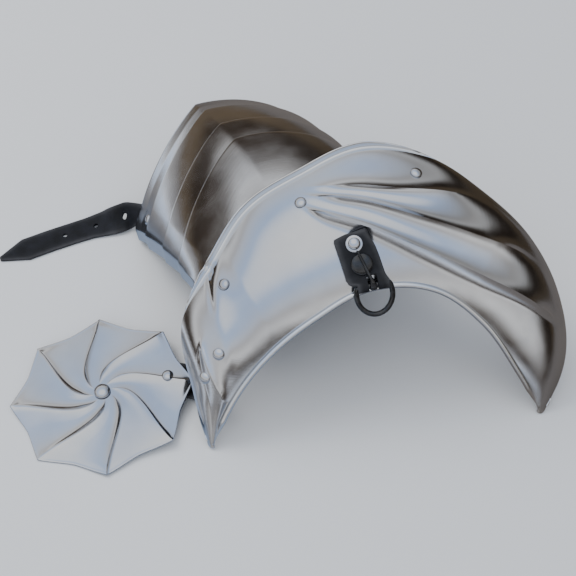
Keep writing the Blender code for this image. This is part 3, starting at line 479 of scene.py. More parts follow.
# Flutes fan out from the cusp: (end, depth, roundness, resting row) in shares of the plate's length and width
flutes = {
    "start": 0.385,
    "height": 0.0048,
    "flank": 0.10,
    "flankPower": 2.2,
    "hollowPower": 2.1,
    "rises": 0.30,
    # where the grid's rows begin to follow the crests and where they leave them: place, width of the change
    "followFrom": (0.26, 0.10),
    "followTo": (0.96, 0.07),
    "rows": ((0.875, 0.787, 0.57, 0.86), (0.800, 0.550, 0.75, 0.91), (0.695, 0.351, 1.00, 0.955)),
}

# Front wing: places as (share along, share across)
wing = {
    "crease": ((0.258, 0.969), (0.228, 0.756), (0.212, 0.593), (0.200, 0.445), (0.186, 0.337),
               (0.155, 0.173)),
    "creaseHeight": 0.0013,
    "creaseWidth": 0.030,
    "groove": ((0.243, 1.00), (0.233, 0.943), (0.221, 0.797), (0.212, 0.660)),
    "grooveDepth": 0.0008,
    "grooveWidth": 0.0045,
    "apex": (0.170, 0.702),
    "apexHeight": 0.0017,
    "creaseFlatness": 2.2,
    "creaseFades": (0.10, 0.30),
    "grooveFades": (0.62, 0.80),
    # how far the flute's outer line steps out, over what drop, and each line's slope below the apex
    "outerStep": 0.063,
    "outerStepSpan": 0.056,
    "outerSlope": 0.30,
    "innerSlope": 0.108,
    "innerFlank": 0.006,
    "panelPower": 1.4,
    "dropFades": (0.0, 0.10),
    "neckFades": (-0.02, 0.16),
}


def chordAxes():
    # the line between the plate's tips, and the level direction from it towards the arm
    along = np.array([math.cos(plate["chordTurn"]), math.sin(plate["chordTurn"]), 0.0])
    return along, np.array([-along[1], along[0], 0.0])


def leaningUp(lean):
    # upright turned towards the arm by the lean
    return chordAxes()[1] * math.sin(lean) + np.array([0, 0, 1.0]) * math.cos(lean)


def neckEdge(share):
    # half an ellipse in a leaning plane, its reach eased by the table
    angle = math.pi * (1 - share)
    reach = throughTable(plate["neckShares"], share)
    side = (plate["neckSpan"] / 2 * reach * np.cos(angle))[..., None] * chordAxes()[0]
    rise = (plate["neckRise"] * reach * np.sin(angle))[..., None] * leaningUp(plate["neckLean"])
    return np.array(plate["chordMiddle"]) + side + rise


def borderEdge(share):
    # a larger leaning arc whose ends are pulled onto the neck edge's tips
    along = chordAxes()[0]
    up = leaningUp(plate["borderLean"])
    half = plate["neckSpan"] / 2
    first = math.atan2(-plate["borderLift"], -half - plate["borderShift"]) + 2 * math.pi
    last = math.atan2(-plate["borderLift"], half - plate["borderShift"])

    def rawEdge(place):
        angle = first + (last - first) * place
        reach = plate["borderRadius"] * throughTable(plate["borderShares"], place)
        side = (plate["borderShift"] + reach * np.cos(angle))[..., None] * along
        rise = (plate["borderLift"] + reach * np.sin(angle))[..., None] * up
        return np.array(plate["chordMiddle"]) + side + rise

    ends = np.array([0.0, 1.0])
    miss = neckEdge(ends) - rawEdge(ends)
    pull = plate["tipPull"]
    return rawEdge(share) + ((1 - share) ** pull)[..., None] * miss[0] + (share ** pull)[..., None] * miss[1]


def fluteRow(share, flute):
    # share across at which a flute's crest runs, and how strongly it stands there
    end, depth, roundness, rest = flute
    place = np.clip((share - flutes["start"]) / (end - flutes["start"]), 0, 1)
    row = 1 - depth * np.sin(np.pi * place) ** roundness
    row = np.where(row > rest, rest, row)
    strength = np.clip((rest - row) / flutes["rises"], 0, 1)
    return row, (strength * strength * (3 - 2 * strength)) ** 2


def plateBase(share, across):
    # straight lines from the neck edge to the border, bulged outward in the middle
    neck = neckEdge(share)
    border = borderEdge(share)
    step = 1e-3
    ahead = np.clip(share + step, 0, 1)
    behind = np.clip(share - step, 0, 1)
    weight = across[..., None]
    run = (neckEdge(ahead) - neckEdge(behind)) * (1 - weight)
    run = run + (borderEdge(ahead) - borderEdge(behind)) * weight
    out = unitRows(np.cross(run, border - neck))
    width = np.linalg.norm(border - neck, axis=-1)
    lift = plate["bulge"] * 4 * across * (1 - across) * np.minimum(1, width / plate["bulgeWidth"])
    return neck + (border - neck) * weight + out * lift[..., None], out


def fluteLift(share, across):
    # sharp crests with hollow panels between them
    rows = [fluteRow(share, flute) for flute in flutes["rows"]]
    low, lowStrength = rows[0]
    flank = np.clip(1 - (low - across) / flutes["flank"], 0, 1) ** flutes["flankPower"]
    lift = lowStrength * flank * (across <= low)
    edges = rows + [(np.ones_like(share), np.zeros_like(share))]
    for (start, first), (stop, second) in zip(edges[:-1], edges[1:]):
        part = np.clip((across - start) / np.maximum(stop - start, 1e-6), 0, 1)
        crest = first + (second - first) * part
        hollow = np.abs(1 - 2 * part) ** flutes["hollowPower"]
        lift = lift + ((across > start) & (across <= stop)) * crest * hollow
    return flutes["height"] * lift


def lineShare(line, across):
    # share along at which a listed line crosses a row
    rows = np.array(sorted(line, key=lambda point: point[1]))
    return np.interp(across, rows[:, 1], rows[:, 0])


def wingLift(share, across):
    # a soft fold down the front wing, a short groove beside it and a raised three-cornered flute
    fold = (share - lineShare(wing["crease"], across)) / wing["creaseWidth"]
    lift = wing["creaseHeight"] * np.exp(1 - np.sqrt(1 + (fold * wing["creaseFlatness"]) ** 2))
    lift = lift * smoothStep(*wing["creaseFades"], across)
    cut = (share - lineShare(wing["groove"], across)) / wing["grooveWidth"]
    lift = lift - wing["grooveDepth"] * np.exp(-cut * cut) * smoothStep(*wing["grooveFades"], across)
    topShare, topAcross = wing["apex"]
    drop = topAcross - across
    below = np.clip(drop, 0, 1)
    span = wing["outerStepSpan"]
    stepped = wing["outerStep"] * np.clip((across + span - topAcross) / span, 0, 1)
    outerLine = topShare - stepped - wing["outerSlope"] * below
    innerLine = topShare - wing["innerSlope"] * below
    part = np.clip((share - outerLine) / np.maximum(innerLine - outerLine, 1e-4), 0, 1)
    flank = np.exp(-np.clip(share - innerLine, 0, 1) / wing["innerFlank"])
    inside = np.where(share <= innerLine, part ** wing["panelPower"], flank)
    fades = smoothStep(*wing["dropFades"], drop) * smoothStep(*wing["neckFades"], across)
    return lift + wing["apexHeight"] * inside * fades


def platePoint(share, across, detail=False):
    # base surface raised along its normal by the flutes and, if asked for, the front wing's folds
    share, across = np.broadcast_arrays(np.asarray(share, float), np.asarray(across, float))
    base, out = plateBase(share, across)
    lift = fluteLift(share, across)
    if detail:
        lift = lift + wingLift(share, across)
    return base + out * lift[..., None]


def plateSlopes(share, across, step=1e-3):
    # differences towards the back tip and towards the border over twice the step
    run = platePoint(share + step, across) - platePoint(share - step, across)
    climb = platePoint(share, across + step) - platePoint(share, across - step)
    return run, climb


def plateFrame(share, across, detail=False):
    # point on the plate with its outward normal, its run to the back tip and its climb to the border
    point = platePoint([share], [across], detail)[0]
    run, climb = plateSlopes(share, across, 4e-3)
    climb = unitRows(climb)
    out = unitRows(np.cross(run, climb))
    return point, out, np.cross(climb, out), climb


def plateGrid():
    # rows follow the flutes, so each crest is a line of the grid; the tips are rounded
    counts = plate["rows"]
    share = np.linspace(plate["tipShare"], 1 - plate["tipShare"], plate["columns"])
    first, firstSpan = flutes["followFrom"]
    last, lastSpan = flutes["followTo"]
    fluted = np.clip((share - first) / firstSpan, 0, 1) * np.clip((last - share) / lastSpan, 0, 1)
    even = np.cumsum(counts) / sum(counts)
    knots = [np.zeros_like(share)]
    knots += [fluteRow(share, flute)[0] * fluted + at * (1 - fluted)
              for flute, at in zip(flutes["rows"], even)]
    knots.append(np.ones_like(share))
    rows = [start + (stop - start) * step / count
            for count, start, stop in zip(counts, knots[:-1], knots[1:]) for step in range(count)]
    across = np.array(rows + [knots[-1]])
    share = np.broadcast_to(share, across.shape)
    points = platePoint(share, across, detail=True)
    for column, inner, near in ((0, 1, share - plate["tipShare"]), (-1, -2, 1 - plate["tipShare"] - share)):
        outward = unitRows(points[:, column].mean(0) - points[:, inner].mean(0))
        radius = np.linalg.norm(points[0, column] - points[-1, column]) / 2
        weight = np.clip(1 - near / plate["tipEase"], 0, 1) ** 2
        bulge = radius * np.sqrt(np.clip(1 - (2 * across - 1) ** 2, 0, 1)) * weight
        points = points + outward * bulge[..., None]
    return points


def rimSteps():
    # side view of the rolled neck edge, the turned-up border and a plain edge, as outer wall, inner wall and
    # the way ahead of each
    turn = np.radians(np.linspace(0, plate["rollTurn"], 11))[1:, None]
    out, up = np.array([1.0, 0.0]), np.array([0.0, 1.0])
    roll = plate["rollRadius"] * (np.sin(turn) * out + (1 - np.cos(turn)) * up)
    rollInner = roll + sheetSteel * (np.sin(turn) * out - np.cos(turn) * up)
    rollAhead = np.array([math.cos(turn[-1, 0]), math.sin(turn[-1, 0])])
    bend = plate["flangeBend"]
    turn = np.radians(np.linspace(0, 90, 6))[1:, None]
    bent = bend * (np.sin(turn) * out + (1 - np.cos(turn)) * up)
    straight = bend * out + np.linspace(bend, plate["flangeHeight"], 6)[1:, None] * up
    turn = np.concatenate([turn, np.full((5, 1), np.pi / 2)])
    flange = np.concatenate([bent, straight])
    flangeInner = flange + sheetSteel * (np.sin(turn) * out - np.cos(turn) * up)
    plain = plate["plainEdge"] * np.linspace(0, 1, 11)[1:, None] * out
    return (roll, rollInner, rollAhead), (flange, flangeInner, up), (plain, plain - sheetSteel * up, out)


def makeShoulderPlate():
    # outer grid, rim rings that roll or turn up the edge, rounded lip, then the inner wall
    grid = plateGrid()
    rows, columns = grid.shape[:2]
    edge, outs, normal = edgeFrame(grid)
    loop = loopOf(rows, columns)
    along = (loop % columns) / (columns - 1)
    atNeck = loop < columns
    rolled = np.where(atNeck, np.clip(np.minimum(along, 1 - along) / plate["plainTip"], 0, 1), 0.0)
    turnedUp = np.where(atNeck, 0.0, np.interp(along, plate["flangeSpan"], (0, 1, 1, 0)))
    weights = np.stack([rolled, turnedUp, 1 - rolled - turnedUp], -1)
    outerSteps, innerSteps, aheadSteps = zip(*rimSteps())

    def ring(steps):
        step = weights @ np.array(steps)
        return edge + outs * step[:, :1] + normal * step[:, 1:]

    outerRings = [ring(steps) for steps in zip(*outerSteps)]
    innerRings = [ring(steps) for steps in zip(*innerSteps)]
    ahead = unitRows(ring(aheadSteps) - edge)
    middle = (outerRings[-1] + innerRings[-1]) / 2
    across = (outerRings[-1] - innerRings[-1]) / 2
    lip = [middle + across * math.cos(turn) + ahead * (sheetSteel / 2) * math.sin(turn)
           for turn in np.radians([45, 90, 135])]
    inner = grid - normalsOf(grid) * sheetSteel
    shape = shellFrom(grid, inner, outerRings + lip + innerRings[::-1])
    addPiece("shoulder_plate", shape, shoulderSteel, plateBody, ["main_plate"], sharp=35)


makeShoulderPlate()
print("stage: shoulder plate")


# Arm lames

arm = {
    "start": (0.007, 0.1589, 0.0120),
    "run": 0.148,
    "climb": 0.0949,
    "climbEase": 0.025,
    "shift": -0.0025,
    "front": 0.0898,
    "back": 0.1064,
    "height": 0.088,
    "taper": 0.0095,
    "lean": math.radians(23.7),
    "leanGain": math.radians(14.3),
    "foot": 7,
    "frontPower": 1.2856,
    "backPower": 2.2377,
    "cusp": 0.034,
    "cuspWidth": 66.3,
    "edges": (0.0, 0.2566, 0.5438, 0.7862),
    "overlap": 0.085,
    "rise": 0.0029,
    "cuspRound": 3.0,
    "cuspEases": (0.4, 8.0),
    "border": 0.005,
    "borderLift": (-0.0008, 0.0010, 0.0),
    "borderFades": 0.35,
    "steps": 91,
    "rows": (26, 26, 26, 44),
}

# The top lame runs in under the plate: (angle round the arm, share along the border, closeness)
topLame = {
    "meets": ((-7, 0.208, 1.0), (20, 0.245, 1.0), (45, 0.295, 1.0), (90, 0.362, 0.70), (125, 0.420, 0.0),
              (187, 0.500, 0.0)),
    "row": 0.93,
    "end": (1.16, 1.40),
    "arrives": 0.7,
}


def armRing(place, angle):
    # a leaning half ring with squared shoulders, a point at the crown and a climb towards the neck
    place, angle = np.broadcast_arrays(np.asarray(place, float), np.asarray(angle, float))
    turn = np.radians(angle)
    lean = arm["lean"] + arm["leanGain"] * place
    up = np.stack([np.zeros_like(place), np.sin(lean), np.cos(lean)], -1)
    out = np.stack([np.zeros_like(place), np.cos(lean), -np.sin(lean)], -1)
    centre = np.stack([arm["start"][0] + arm["shift"] * place, arm["start"][1] - arm["run"] * place,
                       arm["start"][2] + arm["climb"] * place - arm["climbEase"] * place ** 2], -1)
    power = np.where(angle < 90, arm["frontPower"], arm["backPower"])
    power = np.where((angle < 0) | (angle > 180), 2.0, power)
    side = np.where(angle < 90, arm["front"], arm["back"]) - arm["taper"] * place
    tall = arm["height"] - arm["taper"] * place
    cosine = np.sign(np.cos(turn)) * np.abs(np.cos(turn)) ** (2 / power)
    sine = np.sign(np.sin(turn)) * np.abs(np.sin(turn)) ** (2 / power)
    point = centre - (side * cosine)[..., None] * np.array([1.0, 0, 0]) + (tall * sine)[..., None] * up
    eased, gain = arm["cuspEases"]
    off = np.sqrt((angle - 90) ** 2 + (arm["cuspRound"] + gain * np.clip(place - eased, 0, 1)) ** 2)
    return point + (arm["cusp"] * np.clip(1 - off / arm["cuspWidth"], 0, 1))[..., None] * out


def armPoint(place, angle, lift=0.0):
    # a point of the ring moved out along its normal, with that normal
    step = 1e-3
    angle = np.asarray(angle, float)
    place = np.asarray(place, float)
    around = armRing(place, angle + 0.5) - armRing(place, angle - 0.5)
    ahead = armRing(place + step, angle) - armRing(place - step, angle)
    out = unitRows(np.cross(ahead, around))
    return armRing(place, angle) + out * np.asarray(lift, float)[..., None], out


def armOutward(angle):
    # direction away from the arm's axis
    turn = np.radians(angle)
    lean = arm["lean"] + arm["leanGain"]
    up = np.array([0, math.sin(lean), math.cos(lean)])
    return -np.cos(turn)[..., None] * np.array([1.0, 0, 0]) + np.sin(turn)[..., None] * up


def topLamePoint(angle, travel, lift):
    # Hermite curve from the arm's ring to a line inside the plate's border
    angle, travel, lift = np.broadcast_arrays(*(np.asarray(value, float) for value in (angle, travel, lift)))
    table = np.array(topLame["meets"])
    share = np.interp(angle, table[:, 0], table[:, 1])
    close = np.interp(angle, table[:, 0], table[:, 2])[..., None]
    crown = np.clip(np.sin(np.radians(angle)), 0, 1) ** 2
    free = armRing(topLame["end"][0] + (topLame["end"][1] - topLame["end"][0]) * crown, angle)
    row = np.full_like(share, topLame["row"])
    run, climb = plateSlopes(share, row)
    climb = unitRows(climb)
    meet = platePoint(share, row) - unitRows(np.cross(run, climb)) * (sheetSteel + gap * 2)
    start = armRing(arm["edges"][-1], angle)
    leave = unitRows(armRing(arm["edges"][-1] + 1e-3, angle) - start)
    end = meet * close + free * (1 - close)
    length = np.linalg.norm(end - start, axis=-1, keepdims=True)
    arrive = unitRows(-climb * close + unitRows(end - start) * (1 - close))
    pull = arrive * length * topLame["arrives"]
    part = np.clip(travel, 0, 1)[..., None]
    curve = (start * (2 * part ** 3 - 3 * part ** 2 + 1) + leave * length * (part ** 3 - 2 * part ** 2 + part)
             + end * (3 * part ** 2 - 2 * part ** 3) + pull * (part ** 3 - part ** 2))
    curve = curve + arrive * length * np.clip(travel - 1, 0, 1)[..., None]
    return curve + armOutward(angle) * lift[..., None]


def makeArmLame(number):
    # a band of the ring, lifted at its lower edge over the lame below; the first has a bent border strip
    front = np.linspace(-arm["foot"], 90, arm["steps"])
    back = np.linspace(90, 180 + arm["foot"], arm["steps"])
    angle = np.concatenate([front, back[1:]])
    share = np.linspace(0, 1, arm["rows"][number])
    lift = arm["rise"] * (1 - share)
    if number == 0:
        crest = arm["border"] / (arm["run"] * (arm["edges"][1] + arm["overlap"]))
        share = np.concatenate([np.linspace(0, crest, 8), np.linspace(crest, 1, len(share))[1:]])
        lift = np.interp(share, (0, crest, arm["borderFades"]), arm["borderLift"])
    share = share[:, None]
    lift = lift[:, None] * np.ones_like(angle)
    if number + 1 < len(arm["edges"]):
        start, stop = arm["edges"][number], arm["edges"][number + 1] + arm["overlap"]
        points = armPoint(start + (stop - start) * share, np.broadcast_to(angle, lift.shape), lift)[0]
    else:
        points = topLamePoint(angle[None, :], share, lift)
    name = "arm_lame_%d" % (number + 1)
    shape = walled(points[:, ::-1], sheetSteel)
    addPiece(name, shape, brushedSteel, plateBody, ["lame_%d" % (number + 1)], sharp=35)


for lameNumber in range(len(arm["edges"])):
    makeArmLame(lameNumber)
print("stage: arm lames")


# Rivets

rivet = {
    "shank": 0.0016,
    "dome": 0.0048,
    "domeHeight": 0.0027,
    "tail": 0.0029,
    "tailHeight": 0.0011,
    "tailPower": 0.6,
    "foot": 0.06,
    "undercut": 0.985,
}

# Places on the main plate as (share along, share across)
rivetPlaces = {
    "rivet_top": (0.405, 0.785),
    "rivet_back": (0.565, 0.808),
    "rivet_front": (0.249, 0.756),
    "rivet_wing_upper": (0.175, 0.402),
    "rivet_wing_lower": (0.125, 0.530),
}


def rivetRows(dome, height, base, depth):
    # a quarter ellipse with a small foot, the shank and a peened tail
    turn = np.radians(np.linspace(0, 90, 12))
    foot = rivet["foot"]
    rows = [(dome * math.sin(angle), base + height * (foot + (1 - foot) * math.cos(angle))) for angle in turn]
    rows += [(dome * rivet["undercut"], base), (rivet["shank"], base), (rivet["shank"], -depth)]
    turn = np.radians(np.linspace(0, 90, 6))
    tail, tall = rivet["tail"], rivet["tailHeight"]
    rows += [(tail * math.cos(angle) ** rivet["tailPower"], -depth - tall * math.sin(angle)) for angle in turn]
    rows[-1] = (0.0, rows[-1][1])
    return rows


def addTurned(name, rows, place, material, node, steps=56):
    # one turned piece that stands for a node
    shape = turnedShape(rows, place, steps)
    piece = addPiece(name, shape, material, plateBody, [node], sharp=50)
    closeAndShade(piece, 50)


def addRivet(name, place, depth, node, base=gap):
    # a steel rivet with the usual domed head
    rows = rivetRows(rivet["dome"], rivet["domeHeight"], base, depth)
    addTurned(name, rows, place, polishedSteel, node)


def makePlateRivets():
    # each head stands on the finished surface
    for name, place in rivetPlaces.items():
        point, out, run, _ = plateFrame(*place, detail=True)
        depth = sheetSteel + gap * 5 + standOff + hide
        addRivet("head_" + name, setFrame(point, out, run), depth, name)


makePlateRivets()
print("stage: rivets")


# Straps

def acrossFlat(centre, side, width):
    # a straight row of points across a strap
    steps = np.linspace(-0.5, 0.5, strapColumns)[:, None]
    return np.asarray(centre, float) + unitRows(np.asarray(side, float)) * width * steps


def acrossPlate(share, across, turn, width, depth):
    # a row of points that follows the inside of the main plate, turned from its run
    step = 1e-3
    perShare, perAcross = (np.linalg.norm(slope) / (2 * step) for slope in plateSlopes(share, across, step))
    place = np.linspace(-0.5, 0.5, strapColumns) * width
    shares = share + place * math.cos(turn) / perShare
    spot, normal = plateBase(shares, across + place * math.sin(turn) / perAcross)
    return spot - normal * depth


strapSpacing = 0.008


def evenRows(rows, count):
    # rows made even along their length, then smoothed by a curve through them
    rows = np.asarray(rows, float)
    travel = distanceAlong(rows.mean(1))
    even = np.linspace(0, travel[-1], int(round(travel[-1] / strapSpacing)) + 1)
    spaced = readAt(even, travel, rows.reshape(len(rows), -1))
    return throughTable(spaced, np.linspace(0, 1, count)).reshape(count, rows.shape[1], 3)


def strapShape(grid):
    # leather of even thickness about a grid of rows
    return walled(grid, hide, raised=hide / 2, squareness=4.5)


def addStrap(name, node, grid):
    # one strap of black leather that stands for a node
    return addPiece(name, strapShape(grid), blackLeather, plateBody, [node], sharp=50)


innerLeathers = {
    "leather_top": ("rivet_top", (0.72, 0.785, 0.83), (99, 99)),
    "leather_back": ("rivet_back", (0.74, 0.808, 0.86), (146, 140)),
    "leather_front": ("rivet_front", (0.69, 0.756, 0.80), (20, 40)),
}
innerWidth = 0.020

innerRows = 120

# Under the top lame as (travel along it, extra depth), then along the arm as (first place, last place, rows)
underTopLame = ((1.12, 0.0012), (1.0, 0.0008), (0.8, 0.0), (0.55, 0.0), (0.3, 0.0))
alongArm = (0.76, 0.08, 9)


def makeInnerLeathers():
    # from a rivet in the plate down the inside of the lames to the end lame
    for name, (fixing, rows, angles) in innerLeathers.items():
        share = rivetPlaces[fixing][0]
        upper = [acrossPlate(share, row, 0, innerWidth, sheetSteel + gap * 3 + hide / 2 + extra)
                 for row, extra in zip(rows, (0.0, 0.0, sheetSteel))]
        half = math.degrees(innerWidth / 2 / (arm["height"] + arm["cusp"] / 3))
        spread = np.linspace(-half, half, strapColumns)
        deep = sheetSteel + gap * 2 + hide / 2
        lower = [topLamePoint(angles[0] + spread, travel, -deep - extra)
                 for travel, extra in underTopLame]
        lower += [armPoint(np.full(strapColumns, place), angle + spread, np.full(strapColumns, -deep))[0]
                  for place, angle in zip(np.linspace(*alongArm), np.linspace(*angles, alongArm[2]))]
        addStrap("inner_" + name, name, evenRows(upper + lower, innerRows))


makeInnerLeathers()


armStrap = {
    "width": 0.025,
    "point": 0.024,
    "hole": 0.0022,
    "holes": (0.062, 0.092, 0.122),
    "rivet": (0.20, 17.0),
    "rivetRun": (0.15, 1, 0.1),
    "tipWidth": 0.12,
    "drillHalf": 0.006,
    "drillSides": 28,
    "rows": 190,
    "held": ((0.07, 1), (0.0, 0), (-0.10, -1), (-0.20, -2), (-0.23, -2)),
    # middle of the free stretch, height of its underside and how steeply its width stands
    "route": ((-0.0825, 0.1740, 0.0140, 0.74), (-0.0925, 0.1790, 0.0085, 0.38),
              (-0.1040, 0.1832, 0.0036, 0.18), (-0.1190, 0.1868, 0.0005, 0.02),
              (-0.1378, 0.1872, 0.0, 0.0), (-0.1573, 0.1867, 0.0, 0.0),
              (-0.1813, 0.1852, 0.0, 0.0), (-0.2048, 0.1832, 0.0, 0.0)),
}


def makeArmStrap():
    # held inside the end lame by one rivet, then flat on the ground to its cut point, with three holes
    deep = sheetSteel + gap + standOff + hide / 2
    place, angle = armStrap["rivet"]
    half = math.degrees(armStrap["width"] / 2 / arm["front"])
    spread = np.linspace(-half, half, strapColumns)
    flat = np.ones(strapColumns)
    rows = [armPoint(flat * (place + back), angle + turn + spread, flat * -deep)[0]
            for back, turn in armStrap["held"]]
    rows += [acrossFlat((x, y, z + hide / 2 + gap), (0, 1 - rise, rise), armStrap["width"])
             for x, y, z, rise in armStrap["route"]]
    grid = evenRows(rows, armStrap["rows"])
    centre = grid.mean(1)
    left = np.cumsum(np.linalg.norm(np.diff(centre, axis=0), axis=1)[::-1])[::-1]
    left = np.concatenate([left, [0]])
    tip = armStrap["tipWidth"]
    narrow = np.clip(tip + (1 - tip) * left / armStrap["point"], 0, 1)
    grid = centre[:, None] + (grid - centre[:, None]) * narrow[:, None, None]
    piece = addStrap("arm_strap_leather", "arm_strap", grid)
    drills = []
    hole, high = armStrap["hole"], armStrap["drillHalf"]
    rows = [(0.0, high), (hole, high), (hole, -high), (0.0, -high)]
    for distance in armStrap["holes"]:
        spot = centre[int(np.argmin(np.abs(left - distance)))]
        drills.append(cutterFrom(turnedShape(rows, setFrame(spot, (0, 0, 1)), armStrap["drillSides"])))
    cutPiece(piece, drills)

    point, out = armPoint(np.array([place]), np.array([angle]))
    depth = sheetSteel + standOff + hide + gap * 2
    addRivet("head_arm_strap", setFrame(point[0], out[0], armStrap["rivetRun"]), depth, "arm_strap_rivet")


makeArmStrap()
print("stage: arm strap")


# Besagew

besagew = {
    "radius": 0.075,
    "points": 8,
    "place": (-0.1700, -0.0065, 0.0070),
    "tilt": math.radians(4.8),
    "heading": math.radians(35),
    "turn": math.radians(28.1),
    "edgeDip": 0.040,
    "swirl": math.radians(74),
    "swirlPower": 1.9,
    "relief": 0.0022,
    "crown": 0.003,
    "rimHeight": 0.0002,
    "rimWidth": 0.0006,
    # how the ridges bunch, the rings crowd outward, the points curve and the swirl narrows
    "bunching": 0.86,
    "ringPower": 0.9,
    "pointPower": 1.7,
    "inwards": 0.94,
    "flanks": (0.030, 0.13),
    "ridge": 0.75,
    "panel": 0.30,
    "fadesIn": (0.10, 0.30),
    "fadesOut": (0.90, 1.0),
    "fadesBy": 0.35,
    "hubSeat": 0.2,
    "rings": 58,
    "steps": 40,
    "hub": (0.0068, 0.0042),
    "rivetReach": 0.0545,
    "rivetHeading": math.radians(-10),
    "strapWidth": 0.030,
    "strapRows": 110,
    # where the strap lies inside the wing: share along, share across, turn of its width
    "held": ((0.200, 0.34, 1.80), (0.175, 0.402, 1.76), (0.150, 0.466, 1.68), (0.125, 0.530, 1.61),
             (0.105, 0.60, 1.57), (0.094, 0.66, 1.57)),
    # its middle from there to the ground and under the disc, with the direction of its width
    "route": (((-0.0990, -0.0540, 0.0270), (-0.20, 0.97, 0.10)),
              ((-0.0940, -0.0440, 0.0165), (0.10, 0.98, 0.10)),
              ((-0.0910, -0.0360, 0.0085), (0.35, 0.93, 0.05)),
              ((-0.0950, -0.0295, 0.0046), (0.42, 0.91, 0.00))),
    "strapReach": 0.011,
}


def besagewFrame():
    # the disc's own axes, leaning a little back towards the plate
    tilt, heading = besagew["tilt"], besagew["heading"]
    up = (-math.sin(tilt) * math.cos(heading), -math.sin(tilt) * math.sin(heading), math.cos(tilt))
    return setFrame(besagew["place"], up)


def besagewShape():
    # eight swirling lines: a steep flank on one side, a long one on the other; the edge dips between points
    count = besagew["points"]
    base = np.linspace(0, 1, besagew["steps"], endpoint=False)
    phase = np.tile(base - besagew["bunching"] * np.sin(2 * np.pi * base) / (2 * np.pi), count)
    turn = (np.repeat(np.arange(count), besagew["steps"]) + phase) * 2 * np.pi / count
    share = np.linspace(0, 1, besagew["rings"])[:, None] ** besagew["ringPower"]
    angle = turn + besagew["swirl"] * (1 - share) ** besagew["swirlPower"] + besagew["turn"]
    edgePhase = ((angle - besagew["turn"]) * count / (2 * np.pi)) % 1.0
    middle = math.cos(math.pi / count) - besagew["edgeDip"]
    edge = besagew["radius"] * (middle + (1 - middle) * np.abs(1 - 2 * edgePhase) ** besagew["pointPower"])
    reach = share * (edge * share + besagew["radius"] * besagew["inwards"] * (1 - share))
    steep, gentle = besagew["flanks"]
    ridge = np.where(phase < 0.5, np.exp(-phase / steep), np.exp(-(1 - phase) / gentle))
    panel = besagew["panel"] * (1 - np.sin(np.pi * phase))
    fade = 1 - besagew["fadesBy"] * smoothStep(*besagew["fadesOut"], share)
    fade = fade * smoothStep(*besagew["fadesIn"], share)
    rim = besagew["rimHeight"] * np.exp(-((1 - share) * besagew["radius"] / besagew["rimWidth"]) ** 2)
    relief = besagew["relief"] * (besagew["ridge"] * ridge + panel) * fade
    height = besagew["crown"] * (1 - share ** 2) + relief + rim
    top = np.stack([reach * np.cos(angle), reach * np.sin(angle), height], -1)
    outward = np.stack([np.cos(angle[-1]), np.sin(angle[-1]), np.zeros_like(turn)], -1)
    half = sheetSteel / 2
    lip = [top[-1] + outward * half * math.sin(rise) + np.array([0, 0, half * (math.cos(rise) - 1)])
           for rise in np.radians([40, 90, 140])]
    under = top[::-1] - np.array([0, 0, sheetSteel])
    grid = np.concatenate([top, np.array(lip), under])
    return placed(grid.reshape(-1, 3), besagewFrame()), gridQuads(*grid.shape[:2], around=True)


def makeBesagew():
    # the disc, its hub dome, its strap rivet and the strap
    place = besagewFrame()
    disc = addPiece("besagew_disc", besagewShape(), polishedSteel, plateBody, ["besagew"], sharp=30)
    closeAndShade(disc, 30)

    seat = besagew["relief"] * besagew["hubSeat"]
    hub = place @ Matrix.Translation((0, 0, besagew["crown"] + seat))
    rows = rivetRows(*besagew["hub"], gap, sheetSteel + seat + gap)
    addTurned("hub_dome", rows, hub, polishedSteel, node="besagew_hub", steps=72)

    reach, heading = besagew["rivetReach"], besagew["rivetHeading"]
    local = Vector((reach * math.cos(heading), reach * math.sin(heading), 0))
    local.z = besagew["crown"] * (1 - (reach / besagew["radius"]) ** 2) + besagew["relief"]
    spot = place @ Matrix.Translation(local)
    depth = sheetSteel + besagew["relief"] + standOff + hide + gap * 3
    addRivet("head_besagew", spot, depth, "besagew_rivet")

    deep = sheetSteel + gap * 5 + hide / 2
    width = besagew["strapWidth"]
    rows = [acrossPlate(*held, width, deep) for held in besagew["held"]]
    rows += [acrossFlat(middle, side, width) for middle, side in besagew["route"]]
    side = Vector(besagew["route"][-1][1])
    heading = Vector((side.y, -side.x, 0))
    low = Vector((0, 0, -(depth - hide / 2 - gap * 2)))
    steps = np.linspace(-0.5, 0.5, strapColumns) * width
    rows += [[spot @ (heading * besagew["strapReach"] * end + side * step + low) for step in steps]
             for end in (1.0, 0.0, -1.0)]
    addStrap("besagew_leather", "besagew_strap", evenRows(rows, besagew["strapRows"]))


makeBesagew()
print("stage: besagew")


# Buckle on the neck edge

